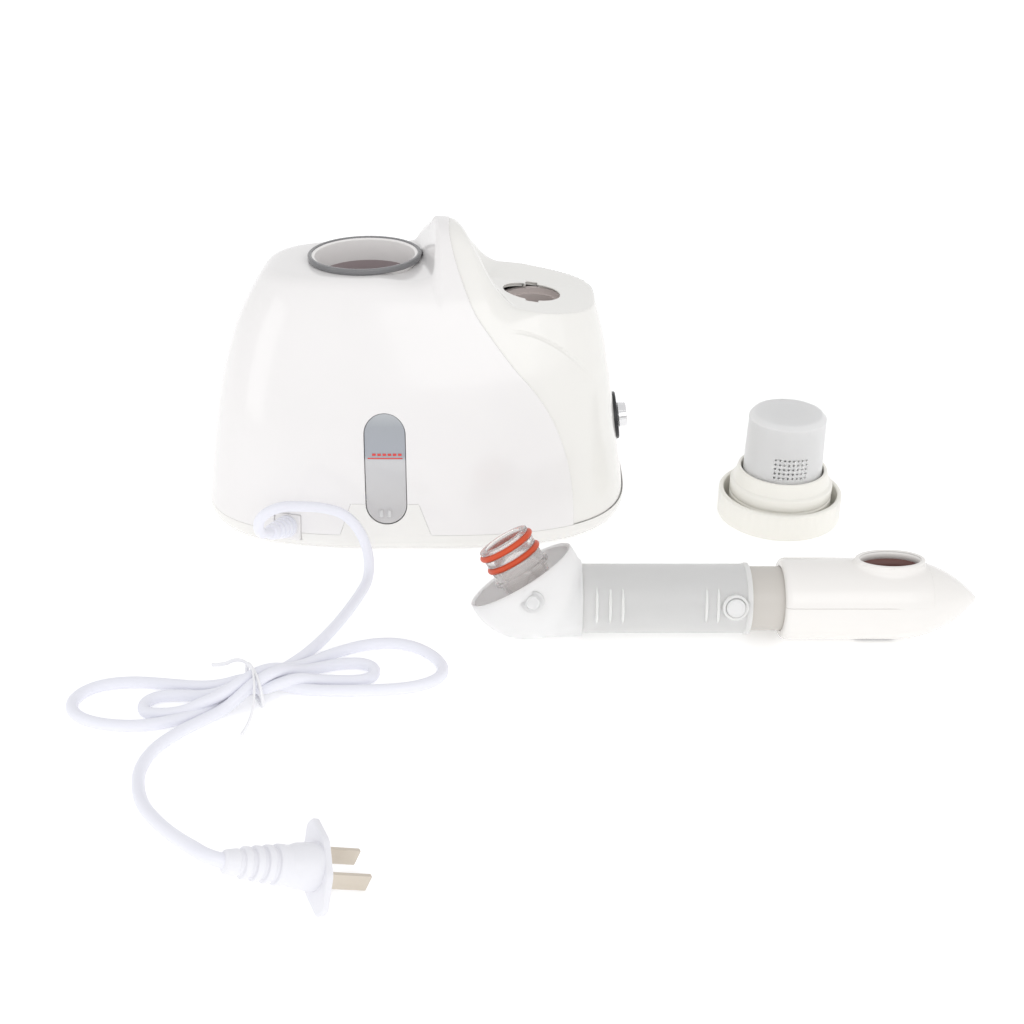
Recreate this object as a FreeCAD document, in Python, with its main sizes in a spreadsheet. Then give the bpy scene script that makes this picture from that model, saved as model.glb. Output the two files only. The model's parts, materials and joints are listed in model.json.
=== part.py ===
# Facial steamer with a loose telescopic arm, a loose lid with its aroma basket and a tied
# mains lead.  Millimetres, +Z up, origin at the centre of the base's flat underside.
import FreeCAD, Part
import Sketcher
import math
import os
from FreeCAD import Placement, Rotation, Vector

SIZES = {
    # housing
    "base_half_width": 110.7, "base_half_depth": 73.2, "dome_height": 151.0, "wall": 2.4,
    "seam_height": 9.5, "seam_gap": 0.2, "plan_power": 2.7, "plateau_height": 127.3,
    "crest_height": 148.5, "facet_height": 114.8, "facet_slope": 0.085, "fin_skew": 0.2,
    "ridge_step": 0.8,
    # water window and the tab of the base under it
    "window_width": 20.2, "window_low": 16.0, "window_high": 74.0, "window_centre": -10.4,
    "lens_gap": 0.25, "tab_top": 25.8, "tab_left": -28.0, "tab_right": 5.5, "tab_flare": 6.2,
    # water tank
    "tank_centre_x": -22.4, "tank_centre_y": 1.0, "tank_radius": 42.0, "tank_wall": 1.8,
    "tank_low": 20.0, "tank_shoulder": 86.0, "neck_low": 104.0, "neck_bore": 24.6,
    "neck_outer": 26.6, "rim_radius": 28.2, "rim_top": 130.2, "sight_front": -54.0,
    # boiler, duct and socket
    "boiler_x": 60.8, "boiler_y": -3.0, "boiler_radius": 20.0, "boiler_low": 14.0,
    "boiler_high": 44.0, "duct_radius": 8.0, "duct_top": 86.0, "socket_bore": 12.95,
    "socket_outer": 17.0, "socket_floor": 84.0, "socket_ledge": 105.4, "socket_top": 108.2,
    "mouth_radius": 14.2, "notch_reach": 16.8, "notch_width": 6.0, "feed_height": 27.0,
    "feed_radius": 5.0,
    # control knob
    "knob_x": 104.4, "knob_y": -6.0, "knob_z": 44.6, "knob_lean": 7.0, "knob_radius": 6.5,
    "knob_depth": 4.5, "plate_radius": 12.4, "shaft_radius": 3.0, "switch_radius": 10.5,
    # electrics
    "board_x": 34.0, "board_y": 24.0, "board_length": 40.0, "board_width": 28.0,
    "board_low": 16.0, "board_thick": 1.6, "wire_radius": 1.2,
    # base details
    "screw_x": 85.0, "screw_y": 44.0, "post_radius": 4.6, "foot_radius": 6.0, "foot_depth": 1.2,
    "foot_x": 78.0, "foot_y": 30.0, "shank_radius": 1.5, "head_radius": 2.8,
    # loose arm
    "arm_y": -143.5, "arm_z": 18.0, "arm_roll": 17.0, "tube_radius": 15.3, "tube_bore": 14.25,
    "tube_start": 77.0, "sleeve_radius": 16.8, "sleeve_end": 82.0, "airway": 14.3,
    "tube_end": 155.0, "slider_radius": 14.15, "slider_bore": 12.9,
    "slider_start": 86.0, "slider_end": 181.0, "ball_radius": 25.7, "ball_wall": 1.8,
    "ball_x": 56.4, "ball_rise": 8.05, "mouth_plane": 3.5, "neck_lean": 31.0, "pivot_x": 59.8,
    "pivot_rise": 4.95, "pin_radius": 2.4, "pin_half": 25.9, "neck_radius": 11.9,
    "neck_hole": 9.0, "neck_top": 25.2, "neck_flange": 13.2, "groove_floor": 10.25,
    "ring_high": 22.2, "ring_low": 15.9, "ring_section": 1.35, "running_gap": 0.08,
    "nozzle_radius": 18.0, "nozzle_start": 169.0, "nozzle_tip": 255.8, "nose_start": 219.0,
    "nozzle_wall": 1.8, "nozzle_split_end": 233.0, "outlet_x": 215.6, "outlet_half": 15.5,
    "outlet_side": 8.4, "outlet_top": 20.4, "outlet_lip": 3.2, "button_x": 147.4,
    "button_radius": 4.1, "button_ring": 5.6,
    # loose lid and basket
    "lid_x": 190.0, "lid_y": -30.8, "lid_radius": 31.4, "lid_height": 14.2, "lid_wall": 2.2,
    "flute_count": 40, "flute_radius": 0.9, "holder_radius": 26.0, "holder_step": 19.5,
    "holder_top": 27.2, "cup_low": 2.4, "cup_radius": 20.5, "cup_top": 57.5, "cup_top_radius": 19.3,
    "cup_wall": 1.1, "hole_radius": 0.6,
    # mains lead
    "cord_radius": 2.5, "boot_length": 20.0, "boot_root": 5.2, "boot_end": 3.4,
    "pin_pitch": 12.7, "pin_width": 6.4, "pin_thick": 1.5, "pin_length": 16.0,
}

os.makedirs("parts", exist_ok=True)
doc = FreeCAD.newDocument("FacialSteamer")
sheet = doc.addObject("Spreadsheet::Sheet", "Sizes")
for row, (alias, number) in enumerate(SIZES.items(), start=1):
    sheet.set("A%d" % row, alias.replace("_", " "))
    sheet.set("B%d" % row, str(number))
    sheet.setAlias("B%d" % row, alias)
doc.recompute()

X, Y, Z = Vector(1, 0, 0), Vector(0, 1, 0), Vector(0, 0, 1)
parts = {}


def size(alias):
    return float(sheet.get(alias))


def value(formula):
    """A number, or a formula of the sheet's aliases such as 'tank_radius - tank_wall'."""
    if isinstance(formula, (int, float)):
        return float(formula)
    total = 0.0
    sign = 1.0
    for word in formula.split():
        if word in "+-":
            sign = 1.0 if word == "+" else -1.0
            continue
        total += sign * (size(word) if word in SIZES else float(word))
    return total


def bind(obj, prop, formula):
    """Bind a property to the sheet; a plain number is set as it is."""
    if isinstance(formula, (int, float)):
        setattr(obj, prop, formula)
        return
    words = ["Sizes." + word if word in SIZES else word for word in formula.split()]
    obj.setExpression(prop, " ".join(words))


def facing(direction, base=Vector(0, 0, 0)):
    """The placement whose own Z runs along direction from base."""
    return Placement(base, Rotation(Z, direction))


def add(kind, name, placement=None, **sizes):
    obj = doc.addObject(kind, name)
    for prop, formula in sizes.items():
        bind(obj, prop, formula)
    if placement is not None:
        obj.Placement = placement
    return obj


def cylinder(name, radius, height, base=Vector(0, 0, 0), direction=Z):
    return add("Part::Cylinder", name, facing(direction, base), Radius=radius, Height=height)


def box(name, low, length, width, height):
    return add("Part::Box", name, Placement(low, Rotation()), Length=length, Width=width,
               Height=height)


def cut(name, base, *tools):
    tool = tools[0] if len(tools) == 1 else fuse(name + "_tools", *tools)
    obj = doc.addObject("Part::Cut", name)
    obj.Base, obj.Tool = base, tool
    return obj


def fuse(name, *shapes):
    obj = doc.addObject("Part::MultiFuse", name)
    obj.Shapes = list(shapes)
    return obj


def common(name, *shapes):
    obj = doc.addObject("Part::MultiCommon", name)
    obj.Shapes = list(shapes)
    return obj


def feature(name, shape, placement=None):
    obj = doc.addObject("Part::Feature", name)
    obj.Shape = shape
    if placement is not None:
        obj.Placement = placement
    return obj


def keep(node, obj):
    obj.Label = node
    parts[node] = obj
    return obj


def placed_cylinder(name, place, radius, height, base, direction=Z):
    """A cylinder given in the frame of place, such as the arm's own."""
    obj = cylinder(name, radius, height)
    obj.Placement = place.multiply(facing(direction, base))
    return obj


def sketch_on(body, role, name):
    plane = [feature_ for feature_ in body.Origin.OriginFeatures if feature_.Role == role][0]
    sketch = body.newObject("Sketcher::SketchObject", name)
    sketch.AttachmentSupport = (plane, [""])
    sketch.MapMode = "FlatFace"
    return sketch


def fix_point(sketch, geometry, across, along):
    """Hold a line's first point at (across, along), each bound to the sheet."""
    for kind, axis, formula in (("DistanceX", -2, across), ("DistanceY", -1, along)):
        if abs(value(formula)) < 1e-9:
            sketch.addConstraint(Sketcher.Constraint("PointOnObject", geometry, 1, axis))
            continue
        index = sketch.addConstraint(
            Sketcher.Constraint(kind, -1, 1, geometry, 1, value(formula)))
        if not isinstance(formula, (int, float)):
            bind(sketch, "Constraints[%d]" % index, formula)


def revolved(name, outline, placement=None):
    """A PartDesign body turned about its own Z from (radius, height) corners."""
    body = doc.addObject("PartDesign::Body", name)
    sketch = sketch_on(body, "XZ_Plane", name + "_outline")
    corners = [Vector(value(across), value(along), 0) for across, along in outline]
    for index, corner in enumerate(corners):
        sketch.addGeometry(Part.LineSegment(corner, corners[(index + 1) % len(corners)]), False)
    for index in range(len(corners)):
        following = (index + 1) % len(corners)
        sketch.addConstraint(Sketcher.Constraint("Coincident", index, 2, following, 1))
    for index, (across, along) in enumerate(outline):
        fix_point(sketch, index, across, along)
    turn = body.newObject("PartDesign::Revolution", name + "_turn")
    turn.Profile = sketch
    turn.ReferenceAxis = (sketch, ["V_Axis"])
    turn.Angle = 360.0
    body.Tip = turn
    if placement is not None:
        body.Placement = placement
    return body


# ---------------------------------------------------------------- housing surfaces

# Height, left reach, right reach and half depth of the closed dome that the housing is cut from.
DOME = [
    (9.3, 110.7, 110.7, 73.2), (20.0, 107.6, 109.3, 71.6), (34.0, 104.8, 107.2, 69.2),
    (48.0, 102.2, 105.2, 66.4), (72.0, 96.6, 101.8, 60.0), (91.0, 90.6, 98.4, 53.2),
    (103.0, 85.6, 95.0, 48.2), (113.0, 80.2, 91.0, 43.6), (121.0, 75.0, 86.0, 39.2),
    (128.0, 69.5, 80.0, 34.6), (136.0, 61.0, 70.0, 28.4), (143.0, 51.0, 58.0, 21.4),
    (148.0, 41.0, 46.0, 14.6), (151.0, 33.0, 37.0, 9.0),
]
# Height and inset of the base's rounded lower edge.
BASE_EDGE = [(0.0, 5.6), (0.7, 3.6), (2.2, 1.9), (4.6, 0.6), (7.0, 0.1), (9.3, 0.0)]
PLAN_POINTS = 24


def plan_curve(height, left, right, depth):
    """One closed smooth plan curve: a superellipse with its own left and right reach."""
    power = 2.0 / size("plan_power")
    points = []
    for index in range(PLAN_POINTS):
        angle = 2.0 * math.pi * index / PLAN_POINTS
        across, along = math.cos(angle), math.sin(angle)
        reach = right if across > 0 else left
        points.append(Vector(math.copysign(reach * abs(across) ** power, across),
                             math.copysign(depth * abs(along) ** power, along), height))
    curve = Part.BSplineCurve()
    curve.interpolate(points, PeriodicFlag=True)
    return Part.Wire(curve.toShape())


def dome(inset, drop=0.0):
    """The dome, moved in by inset and down by drop."""
    wires = [plan_curve(height - drop, left - inset, right - inset, depth - inset)
             for height, left, right, depth in DOME]
    return Part.makeLoft(wires, True, False)


def base_solid(inset, floor):
    rows = [(height, edge) for height, edge in BASE_EDGE if height >= floor]
    if floor > 0:
        rows.insert(0, (floor, BASE_EDGE[2][1]))
    half_width, half_depth = size("base_half_width"), size("base_half_depth")
    wires = [plan_curve(height, half_width - edge - inset, half_width - edge - inset,
                        half_depth - edge - inset) for height, edge in rows]
    return Part.makeLoft(wires, True, False)


def side_prism(wire, back_shift=0.0, near=-90.0, far=90.0):
    """A closed outline in the XZ plane pushed along Y, with a sideways shift to the back."""
    outline = wire.copy()
    outline.translate(Vector(-back_shift * near, near, 0))
    return Part.Face(outline).extrude(Vector(-back_shift * (far - near), far - near, 0))


def spline(points, start=None, finish=None):
    curve = Part.BSplineCurve()
    if start is None:
        curve.interpolate(points)
    else:
        curve.interpolate(points, InitialTangent=start, FinalTangent=finish)
    return curve.toShape()


def top_outline(drop):
    """The housing's upper outline seen from the front: plateau, fin and falling shoulder."""
    plateau = size("plateau_height") - drop
    crest = size("crest_height") - drop
    facet, slope = size("facet_height") - drop, size("facet_slope")
    foot, valley, edge, low = Vector(6.4 + drop, 0, plateau), 44.0, 140.0, -10.0
    crest_left, crest_right = 12.5 + drop, 24.5 - drop
    wide = Vector(edge, 0, facet - slope * (edge - valley))
    rise = spline([foot, Vector(9.8 + drop, 0, plateau + 9.0), Vector(crest_left, 0, crest)],
                  Vector(1, 0, 0.5), Vector(0.5, 0, 1))
    fall = spline([Vector(crest_right, 0, crest - 1.0), Vector(28.6 - drop, 0, crest - 9.5),
                   Vector(33.6 - drop, 0, crest - 22.0), Vector(38.4, 0, facet + 4.4),
                   Vector(valley, 0, facet)],
                  Vector(0.45, 0, -1), Vector(1, 0, -0.4))
    lines = [Part.makeLine(Vector(-edge, 0, low), Vector(-edge, 0, plateau)),
             Part.makeLine(Vector(-edge, 0, plateau), foot), rise,
             Part.makeLine(Vector(crest_left, 0, crest), Vector(crest_right, 0, crest - 1.0)),
             fall, Part.makeLine(Vector(valley, 0, facet), wide),
             Part.makeLine(wide, Vector(edge, 0, low)),
             Part.makeLine(Vector(edge, 0, low), Vector(-edge, 0, low))]
    return Part.Wire(lines)


def seam_outline(shift):
    """Everything to the left of the curved seam between the two shells."""
    points = [Vector(18.6 + shift, 0, 160.0), Vector(20.4 + shift, 0, 148.0),
              Vector(23.2 + shift, 0, 138.0), Vector(28.0 + shift, 0, 125.5),
              Vector(34.0 + shift, 0, 113.0), Vector(42.8 + shift, 0, 101.0),
              Vector(52.2 + shift, 0, 89.0), Vector(62.6 + shift, 0, 77.0),
              Vector(70.2 + shift, 0, 65.0), Vector(76.0 + shift, 0, 51.0),
              Vector(79.8 + shift, 0, 36.0), Vector(81.6 + shift, 0, 21.0),
              Vector(81.8 + shift, 0, -5.0)]
    left_top, left_low = Vector(-150, 0, 160), Vector(-150, 0, -5)
    return Part.Wire([spline(points), Part.makeLine(points[-1], left_low),
                      Part.makeLine(left_low, left_top), Part.makeLine(left_top, points[0])])


def window_prism(grow):
    """The oblong of the water window, pushed through the front wall."""
    radius = size("window_width") / 2 + grow
    centre = size("window_centre")
    low = size("window_low") + size("window_width") / 2
    high = size("window_high") - size("window_width") / 2
    corners = [Vector(centre - radius, 0, low), Vector(centre - radius, 0, high),
               Vector(centre + radius, 0, high), Vector(centre + radius, 0, low)]
    wire = Part.Wire([
        Part.makeLine(corners[0], corners[1]),
        Part.Arc(corners[1], Vector(centre, 0, high + radius), corners[2]).toShape(),
        Part.makeLine(corners[2], corners[3]),
        Part.Arc(corners[3], Vector(centre, 0, low - radius), corners[0]).toShape()])
    return side_prism(wire, 0.0, -90.0, -30.0)


def tab_prism(grow):
    """The raised trapezoid of the base under the window."""
    top, left, right = size("tab_top") + grow, size("tab_left") - grow, size("tab_right") + grow
    flare, low = size("tab_flare"), size("seam_height") - 1.2
    wire = Part.makePolygon([Vector(left - flare, 0, low), Vector(left, 0, top),
                             Vector(right, 0, top), Vector(right + flare, 0, low),
                             Vector(left - flare, 0, low)])
    return side_prism(wire, 0.0, -90.0, -30.0)


def knob_place():
    lean = math.radians(size("knob_lean"))
    axis = Vector(math.cos(lean), 0, math.sin(lean))
    return facing(axis, Vector(size("knob_x"), size("knob_y"), size("knob_z")))


def gland_frame():
    """The cord inlet's frame: its Z points out of the wall, a little up and to the left."""
    return facing(Vector(-0.253, -0.907, 0.33), Vector(-60.0, -67.4, 12.2))


def gland_block(width, height, inner, outer):
    block = Part.makeBox(width, height, inner + outer, Vector(-width / 2, -height / 2, -inner))
    place = gland_frame()
    level = place.Rotation.inverted().multVec(Z)
    block.rotate(Vector(0, 0, 0), Z, math.degrees(math.atan2(level.y, level.x)) - 90.0)
    block.Placement = place.multiply(block.Placement)
    return block


def screw_spots():
    return [Vector(side * size("screw_x"), end * size("screw_y"), 0)
            for side in (-1, 1) for end in (-1, 1)]


def make_housing():
    wall, gap = size("wall"), size("seam_gap")
    step = size("ridge_step")
    skew = size("fin_skew")
    outer = dome(0.0).common(side_prism(top_outline(0.0), skew))
    low_outer = dome(step).common(side_prism(top_outline(step), skew))
    inner = dome(wall + step).common(side_prism(top_outline(wall + step), skew))
    left_side = side_prism(seam_outline(-gap / 2))
    right_side = side_prism(seam_outline(gap / 2))
    above_seam = Part.makeBox(300, 200, 200, Vector(-150, -100, size("seam_height") + gap))
    posts = [Part.makeCylinder(size("post_radius"), 20.0, spot + Z * (size("seam_height") + gap))
             for spot in screw_spots()]
    shanks = [Part.makeCylinder(size("shank_radius"), 40.0, spot - Z) for spot in screw_spots()]
    filler = Part.makeCylinder(size("neck_outer") + 0.2, 60.0,
                               Vector(size("tank_centre_x"), size("tank_centre_y"), 100))
    gland = gland_block(14.2, 13.2, 6.0, 12.0)
    rim_seat = Part.makeCylinder(size("rim_radius") + 0.2, 30.0, Vector(
        size("tank_centre_x"), size("tank_centre_y"), size("rim_top") - 2.75))

    left = outer.common(left_side).common(above_seam).cut(inner)
    left_posts = [post.common(outer) for post in posts[:2]]
    left = left.fuse(left_posts).cut([filler, rim_seat, window_prism(0.0), tab_prism(gap), gland]
                                     + shanks)
    keep("left_shell", feature("LeftShell", largest(left)))

    mouth = socket_mouth(70.0, 200.0)
    plate_hole = Part.makeCylinder(size("plate_radius") + 0.1, 30.0, Vector(0, 0, -15))
    plate_hole.Placement = knob_place().multiply(plate_hole.Placement)
    right = low_outer.cut(right_side).common(above_seam).cut(inner)
    right_posts = [post.common(low_outer) for post in posts[2:]]
    right = right.fuse(right_posts).cut([mouth, plate_hole] + shanks)
    keep("right_shell", feature("RightShell", largest(right)))

    below_seam = Part.makeBox(300, 200, size("seam_height") + 5, Vector(-150, -100, -5))
    tray = base_solid(0.0, 0.0).common(below_seam).cut(base_solid(wall, wall))
    tab = outer.common(tab_prism(0.0)).cut(inner)
    tab = tab.cut(Part.makeBox(300, 200, 20, Vector(-150, -100, size("seam_height") - 20)))
    towers = [Part.makeCylinder(size("post_radius"), size("seam_height") - 1.0, spot + Z)
              for spot in screw_spots()]
    stools = [Part.makeCylinder(4.0, size("tank_low") - 1.0, spot + Z) for spot in tank_stools()]
    seat = Part.makeCylinder(19.0, 9.0, Vector(size("boiler_x"), size("boiler_y"), 1.0))
    seat = seat.cut(Part.makeCylinder(16.2, 9.0, Vector(size("boiler_x"), size("boiler_y"), 1.0)))
    pegs = [Part.makeCylinder(2.5, size("board_low") - 1.0, spot + Z) for spot in board_spots()]
    tray = tray.fuse([tab, seat] + towers + stools + pegs)
    tray = tray.cut([window_prism(0.0), gland] + shanks
                    + [Part.makeCylinder(size("head_radius") + 0.2, 2.2, spot - Z * 0.2)
                       for spot in screw_spots()]
                    + [Part.makeCylinder(size("foot_radius") + 0.1, size("foot_depth") + 1.0,
                                         spot - Z) for spot in foot_spots()])
    keep("base_tray", feature("BaseTray", largest(tray)))

    gap = size("lens_gap")
    lens = dome(0.5).cut(dome(2.3)).common(window_prism(-gap))
    keep("level_window", feature("LevelWindow", largest(lens)))


def largest(shape):
    """The one main solid of a boolean result, without loose crumbs."""
    solids = sorted(shape.Solids, key=lambda solid: solid.Volume)
    return solids[-1]


def tank_stools():
    centre = Vector(size("tank_centre_x"), size("tank_centre_y"), 0)
    reach = size("tank_radius") - 9.0
    return [centre + Vector(reach * math.cos(angle), reach * math.sin(angle), 0)
            for angle in (math.radians(45 + 90 * turn) for turn in range(4))]


def board_spots():
    low_x, low_y = size("board_x") + 4.0, size("board_y") + 4.0
    return [Vector(low_x + across, low_y + along, 0)
            for across in (0.0, size("board_length") - 8.0)
            for along in (0.0, size("board_width") - 8.0)]


def foot_spots():
    return [Vector(side * size("foot_x"), end * size("foot_y"), 0)
            for side in (-1, 1) for end in (-1, 1)]


def socket_mouth(low, high):
    """The socket's round mouth with its two bayonet notches, front and back."""
    centre = Vector(size("boiler_x"), size("boiler_y"), low)
    width, reach = size("notch_width"), size("notch_reach")
    round_part = Part.makeCylinder(size("mouth_radius"), high - low, centre)
    notch = Part.makeBox(width, 2 * reach, high - low, centre - Vector(width / 2, reach, 0))
    return round_part.fuse(notch)


# ---------------------------------------------------------------- inside the housing

def make_tank():
    centre = Vector(size("tank_centre_x"), size("tank_centre_y"), 0)
    inner, low = "tank_radius - tank_wall", "tank_low + tank_wall"
    wall = revolved("TankTurn", [
        (0, "tank_low"), ("tank_radius", "tank_low"), ("tank_radius", "tank_shoulder"),
        ("neck_outer", "neck_low"), ("neck_outer", "rim_top - 2.7"),
        ("rim_radius", "rim_top - 2.7"), ("rim_radius", "rim_top"), ("neck_bore", "rim_top"),
        ("neck_bore", "neck_low - 0.8"), (inner, "tank_shoulder - 0.8"), (inner, low), (0, low)],
        Placement(centre, Rotation()))
    left, right = size("window_centre") - 9.0, size("window_centre") + 9.0
    front, wall_size = size("sight_front"), size("tank_wall")
    sight = box("SightBox", Vector(left, front, 24), right - left, -36.0 - front, 46.0)
    hollow = box("SightHollow", Vector(left + wall_size, front + wall_size, 24 + wall_size),
                 right - left - 2 * wall_size, -32.0 - front, 46.0 - 2 * wall_size)
    core = cylinder("TankCore", inner, 60.0, centre + Z * (size("tank_low") + wall_size))
    port = cylinder("TankPort", "feed_radius + 0.05", 12.0,
                    Vector(13.0, size("boiler_y"), size("feed_height")), X)
    keep("water_tank", cut("WaterTank", fuse("TankShells", wall, sight), hollow, core, port))
    ring = revolved("TankSealTurn", [
        ("neck_outer + 0.05", 121.4), ("neck_outer + 3.4", 121.4),
        ("neck_outer + 3.4", 123.9), ("neck_outer + 0.05", 123.9)], Placement(centre, Rotation()))
    keep("tank_seal", ring)


def make_boiler():
    foot = Vector(size("boiler_x"), size("boiler_y"), 0)
    here = Placement(foot, Rotation())
    cup = revolved("BoilerTurn", [
        (0, "boiler_low"), ("boiler_radius", "boiler_low"), ("boiler_radius", "boiler_high"),
        ("boiler_radius - 1.8", "boiler_high"), ("boiler_radius - 1.8", "boiler_low + 1.6"),
        (0, "boiler_low + 1.6")], here)
    port = cylinder("BoilerPort", "feed_radius + 0.05", 10.0,
                    Vector(38.0, size("boiler_y"), size("feed_height")), X)
    keep("boiler_cup", cut("BoilerCup", cup, port))
    keep("boiler_cap", revolved("BoilerCap", [
        ("boiler_radius - 2.5", "boiler_high + 0.1"), ("boiler_radius", "boiler_high + 0.1"),
        ("boiler_radius", "boiler_high + 3.0"), ("duct_radius + 2.0", "boiler_high + 13.0"),
        ("duct_radius + 2.0", "boiler_high + 18.0"), ("duct_radius + 0.05", "boiler_high + 18.0"),
        ("duct_radius + 0.05", "boiler_high + 12.0"),
        ("boiler_radius - 2.5", "boiler_high + 2.4")], here))
    keep("heater_plate", cylinder("HeaterPlate", "boiler_radius - 1.0", 3.6, foot + Z * 10.2))
    ring = add("Part::Torus", "HeaterRing", Placement(foot + Z * 7.5, Rotation()),
               Radius1=12.6, Radius2=2.6)
    keep("heater_ring", ring)
    pipe = cylinder("FeedPipe", "feed_radius", 25.4,
                    Vector(17.3, size("boiler_y"), size("feed_height")), X)
    bore = cylinder("FeedBore", "feed_radius - 1.4", 30.0,
                    Vector(15.0, size("boiler_y"), size("feed_height")), X)
    keep("feed_tube", cut("FeedTube", pipe, bore))
    duct = cylinder("DuctPipe", "duct_radius", "duct_top - 56.5", foot + Z * 56.5)
    duct_bore = cylinder("DuctBore", "duct_radius - 1.4", 60.0, foot + Z * 50.0)
    keep("steam_duct", cut("SteamDuct", duct, duct_bore))
    keep("duct_seal", revolved("DuctSeal", [
        ("duct_radius + 0.05", "socket_floor - 2.6"), ("duct_radius + 3.6", "socket_floor - 2.6"),
        ("duct_radius + 3.6", "socket_floor - 0.1"), ("duct_radius + 0.05", "socket_floor - 0.1")],
        here))
    keep("steam_socket", revolved("SteamSocket", [
        ("duct_radius + 0.05", "socket_floor"), ("socket_outer", "socket_floor"),
        ("socket_outer", "socket_top"), ("mouth_radius", "socket_top"),
        ("mouth_radius", "socket_ledge"), ("socket_bore", "socket_ledge"),
        ("socket_bore", "socket_floor + 2.2"), ("duct_radius + 0.05", "socket_floor + 2.2")],
        here))
    back = foot + Vector(0, -size("boiler_radius") - 0.1, 30)
    keep("thermostat", fuse("Thermostat", cylinder("ThermostatCan", 7.0, 5.0, back, -Y),
                            cylinder("ThermostatCap", 4.0, 8.0, back, -Y)))
    keep("thermal_fuse", cylinder("ThermalFuse", 2.1, 14.0,
                                  foot + Vector(-7, size("boiler_radius") + 2.3, 24), X))


def make_electrics():
    corner = Vector(size("board_x"), size("board_y"), size("board_low"))
    keep("power_board", box("PowerBoard", corner, "board_length", "board_width", "board_thick"))
    top = corner + Z * (size("board_thick") + 0.05)
    keep("relay", box("Relay", top + Vector(4, 6, 0), 15.0, 12.0, 14.0))
    keep("capacitor", cylinder("Capacitor", 5.0, 15.0, top + Vector(30, 18, 0)))
    block = box("TerminalBlock", Vector(-62, -50, 2.5), 20.0, 11.0, 12.0)
    holes = [cylinder("TerminalHole%d" % index, 1.8, 8.0, Vector(-57 + 10 * index, -44.5, 8))
             for index in range(2)]
    keep("terminal_block", cut("TerminalBlockCut", block, *holes))
    place = gland_frame()
    inner = cylinder("InnerLead", "cord_radius", 11.6)
    inner.Placement = place.multiply(facing(-Z, Vector(0, 0, -6.1)))
    keep("inner_lead", inner)
    clamp = box("ClampBlock", Vector(-64, -58.5, 2.5), 13.0, 4.5, 11.0)
    bore = cylinder("ClampBore", "cord_radius + 0.05", 40.0)
    bore.Placement = place.multiply(facing(-Z, Vector(0, 0, 8)))
    keep("cord_clamp", cut("CordClamp", clamp, bore))
    for node, points in WIRES.items():
        keep(node, feature(node, tube_along(points, size("wire_radius"))))


# Where the inner wires bend, from the terminal block under the tank to the board, and from the
# board up to the switch.
WIRES = {
    "live_wire": [(-41.9, -46.5, 10.0), (-30.0, -46.5, 10.0), (-14.0, -26.0, 10.0),
                  (14.0, 18.0, 10.0), (26.0, 32.0, 11.5), (33.9, 34.0, 16.8)],
    "neutral_wire": [(-41.9, -42.0, 10.0), (-32.0, -42.0, 10.0), (-18.0, -23.0, 10.0),
                     (10.0, 21.0, 10.0), (23.0, 37.0, 11.5), (33.9, 42.0, 16.8)],
    "switch_wire": [(74.1, 36.0, 16.8), (82.0, 33.0, 19.0), (85.5, 20.0, 27.0),
                    (84.4, 8.0, 35.0), (83.2, -1.0, 40.6), (86.4, -4.6, 42.6)],
}


def make_knob():
    place = knob_place()
    plate = placed_cylinder("PlateDisc", place, "plate_radius", 4.8, Vector(0, 0, -3.2))
    gap = "shaft_radius + 0.05"
    plate_bore = placed_cylinder("PlateBore", place, gap, 12.0, Vector(0, 0, -6))
    keep("knob_plate", cut("KnobPlate", plate, plate_bore))
    case = placed_cylinder("SwitchCase", place, "switch_radius", 13.5, Vector(0, 0, -16.8))
    case_bore = placed_cylinder("SwitchBore", place, gap, 10.0, Vector(0, 0, -12.1))
    keep("rotary_switch", cut("RotarySwitch", case, case_bore))
    keep("switch_shaft", placed_cylinder("SwitchShaft", place, "shaft_radius", 17.0,
                                         Vector(0, 0, -12.0)))
    knob = placed_cylinder("KnobBody", place, "knob_radius", "knob_depth", Vector(0, 0, 2.0))
    knob_bore = placed_cylinder("KnobBore", place, "shaft_radius", 4.0, Vector(0, 0, 1.0))
    mark = add("Part::Box", "KnobMark", place.multiply(Placement(Vector(-0.5, 1.5, 6.1),
               Rotation())), Length=1.0, Width=6.0, Height=1.0)
    keep("control_knob", cut("ControlKnob", knob, knob_bore, mark))


def make_feet_and_screws():
    pads = [cylinder("FootPad%d" % index, "foot_radius", "foot_depth", spot)
            for index, spot in enumerate(foot_spots())]
    keep("rubber_feet", fuse("RubberFeet", *pads))
    screws = []
    for index, spot in enumerate(screw_spots()):
        head = cylinder("ScrewHead%d" % index, "head_radius", 1.6, spot + Z * 0.3)
        shank = cylinder("ScrewShank%d" % index, "shank_radius - 0.03", 17.0, spot + Z * 1.0)
        slot = box("ScrewSlot%d" % index, spot + Vector(-2.2, -0.4, 0.2), 4.4, 0.8, 0.8)
        screws.append(cut("BaseScrew%d" % index, fuse("ScrewBody%d" % index, head, shank), slot))
    keep("base_screws", fuse("BaseScrews", *screws))


# ---------------------------------------------------------------- loose arm

def arm_frame():
    """The arm's frame: X along the tube, its pin across Y, its upper side on Z."""
    return Placement(Vector(0, size("arm_y"), size("arm_z")), Rotation(X, -size("arm_roll")))


def in_arm(base, direction=X):
    return arm_frame().multiply(facing(direction, base))


def neck_direction():
    lean = math.radians(size("neck_lean"))
    return Vector(-math.sin(lean), 0, math.cos(lean))


def pivot():
    return Vector(size("pivot_x"), 0, size("pivot_rise"))


def arm_cylinder(name, radius, start, end):
    obj = cylinder(name, radius, end - start)
    obj.Placement = in_arm(Vector(start, 0, 0))
    return obj


def pin_hole(name, radius="pin_radius + running_gap"):
    half = size("pin_half") + 4.0
    return placed_cylinder(name, arm_frame(), radius, 2 * half, pivot() - Y * half, Y)


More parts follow.
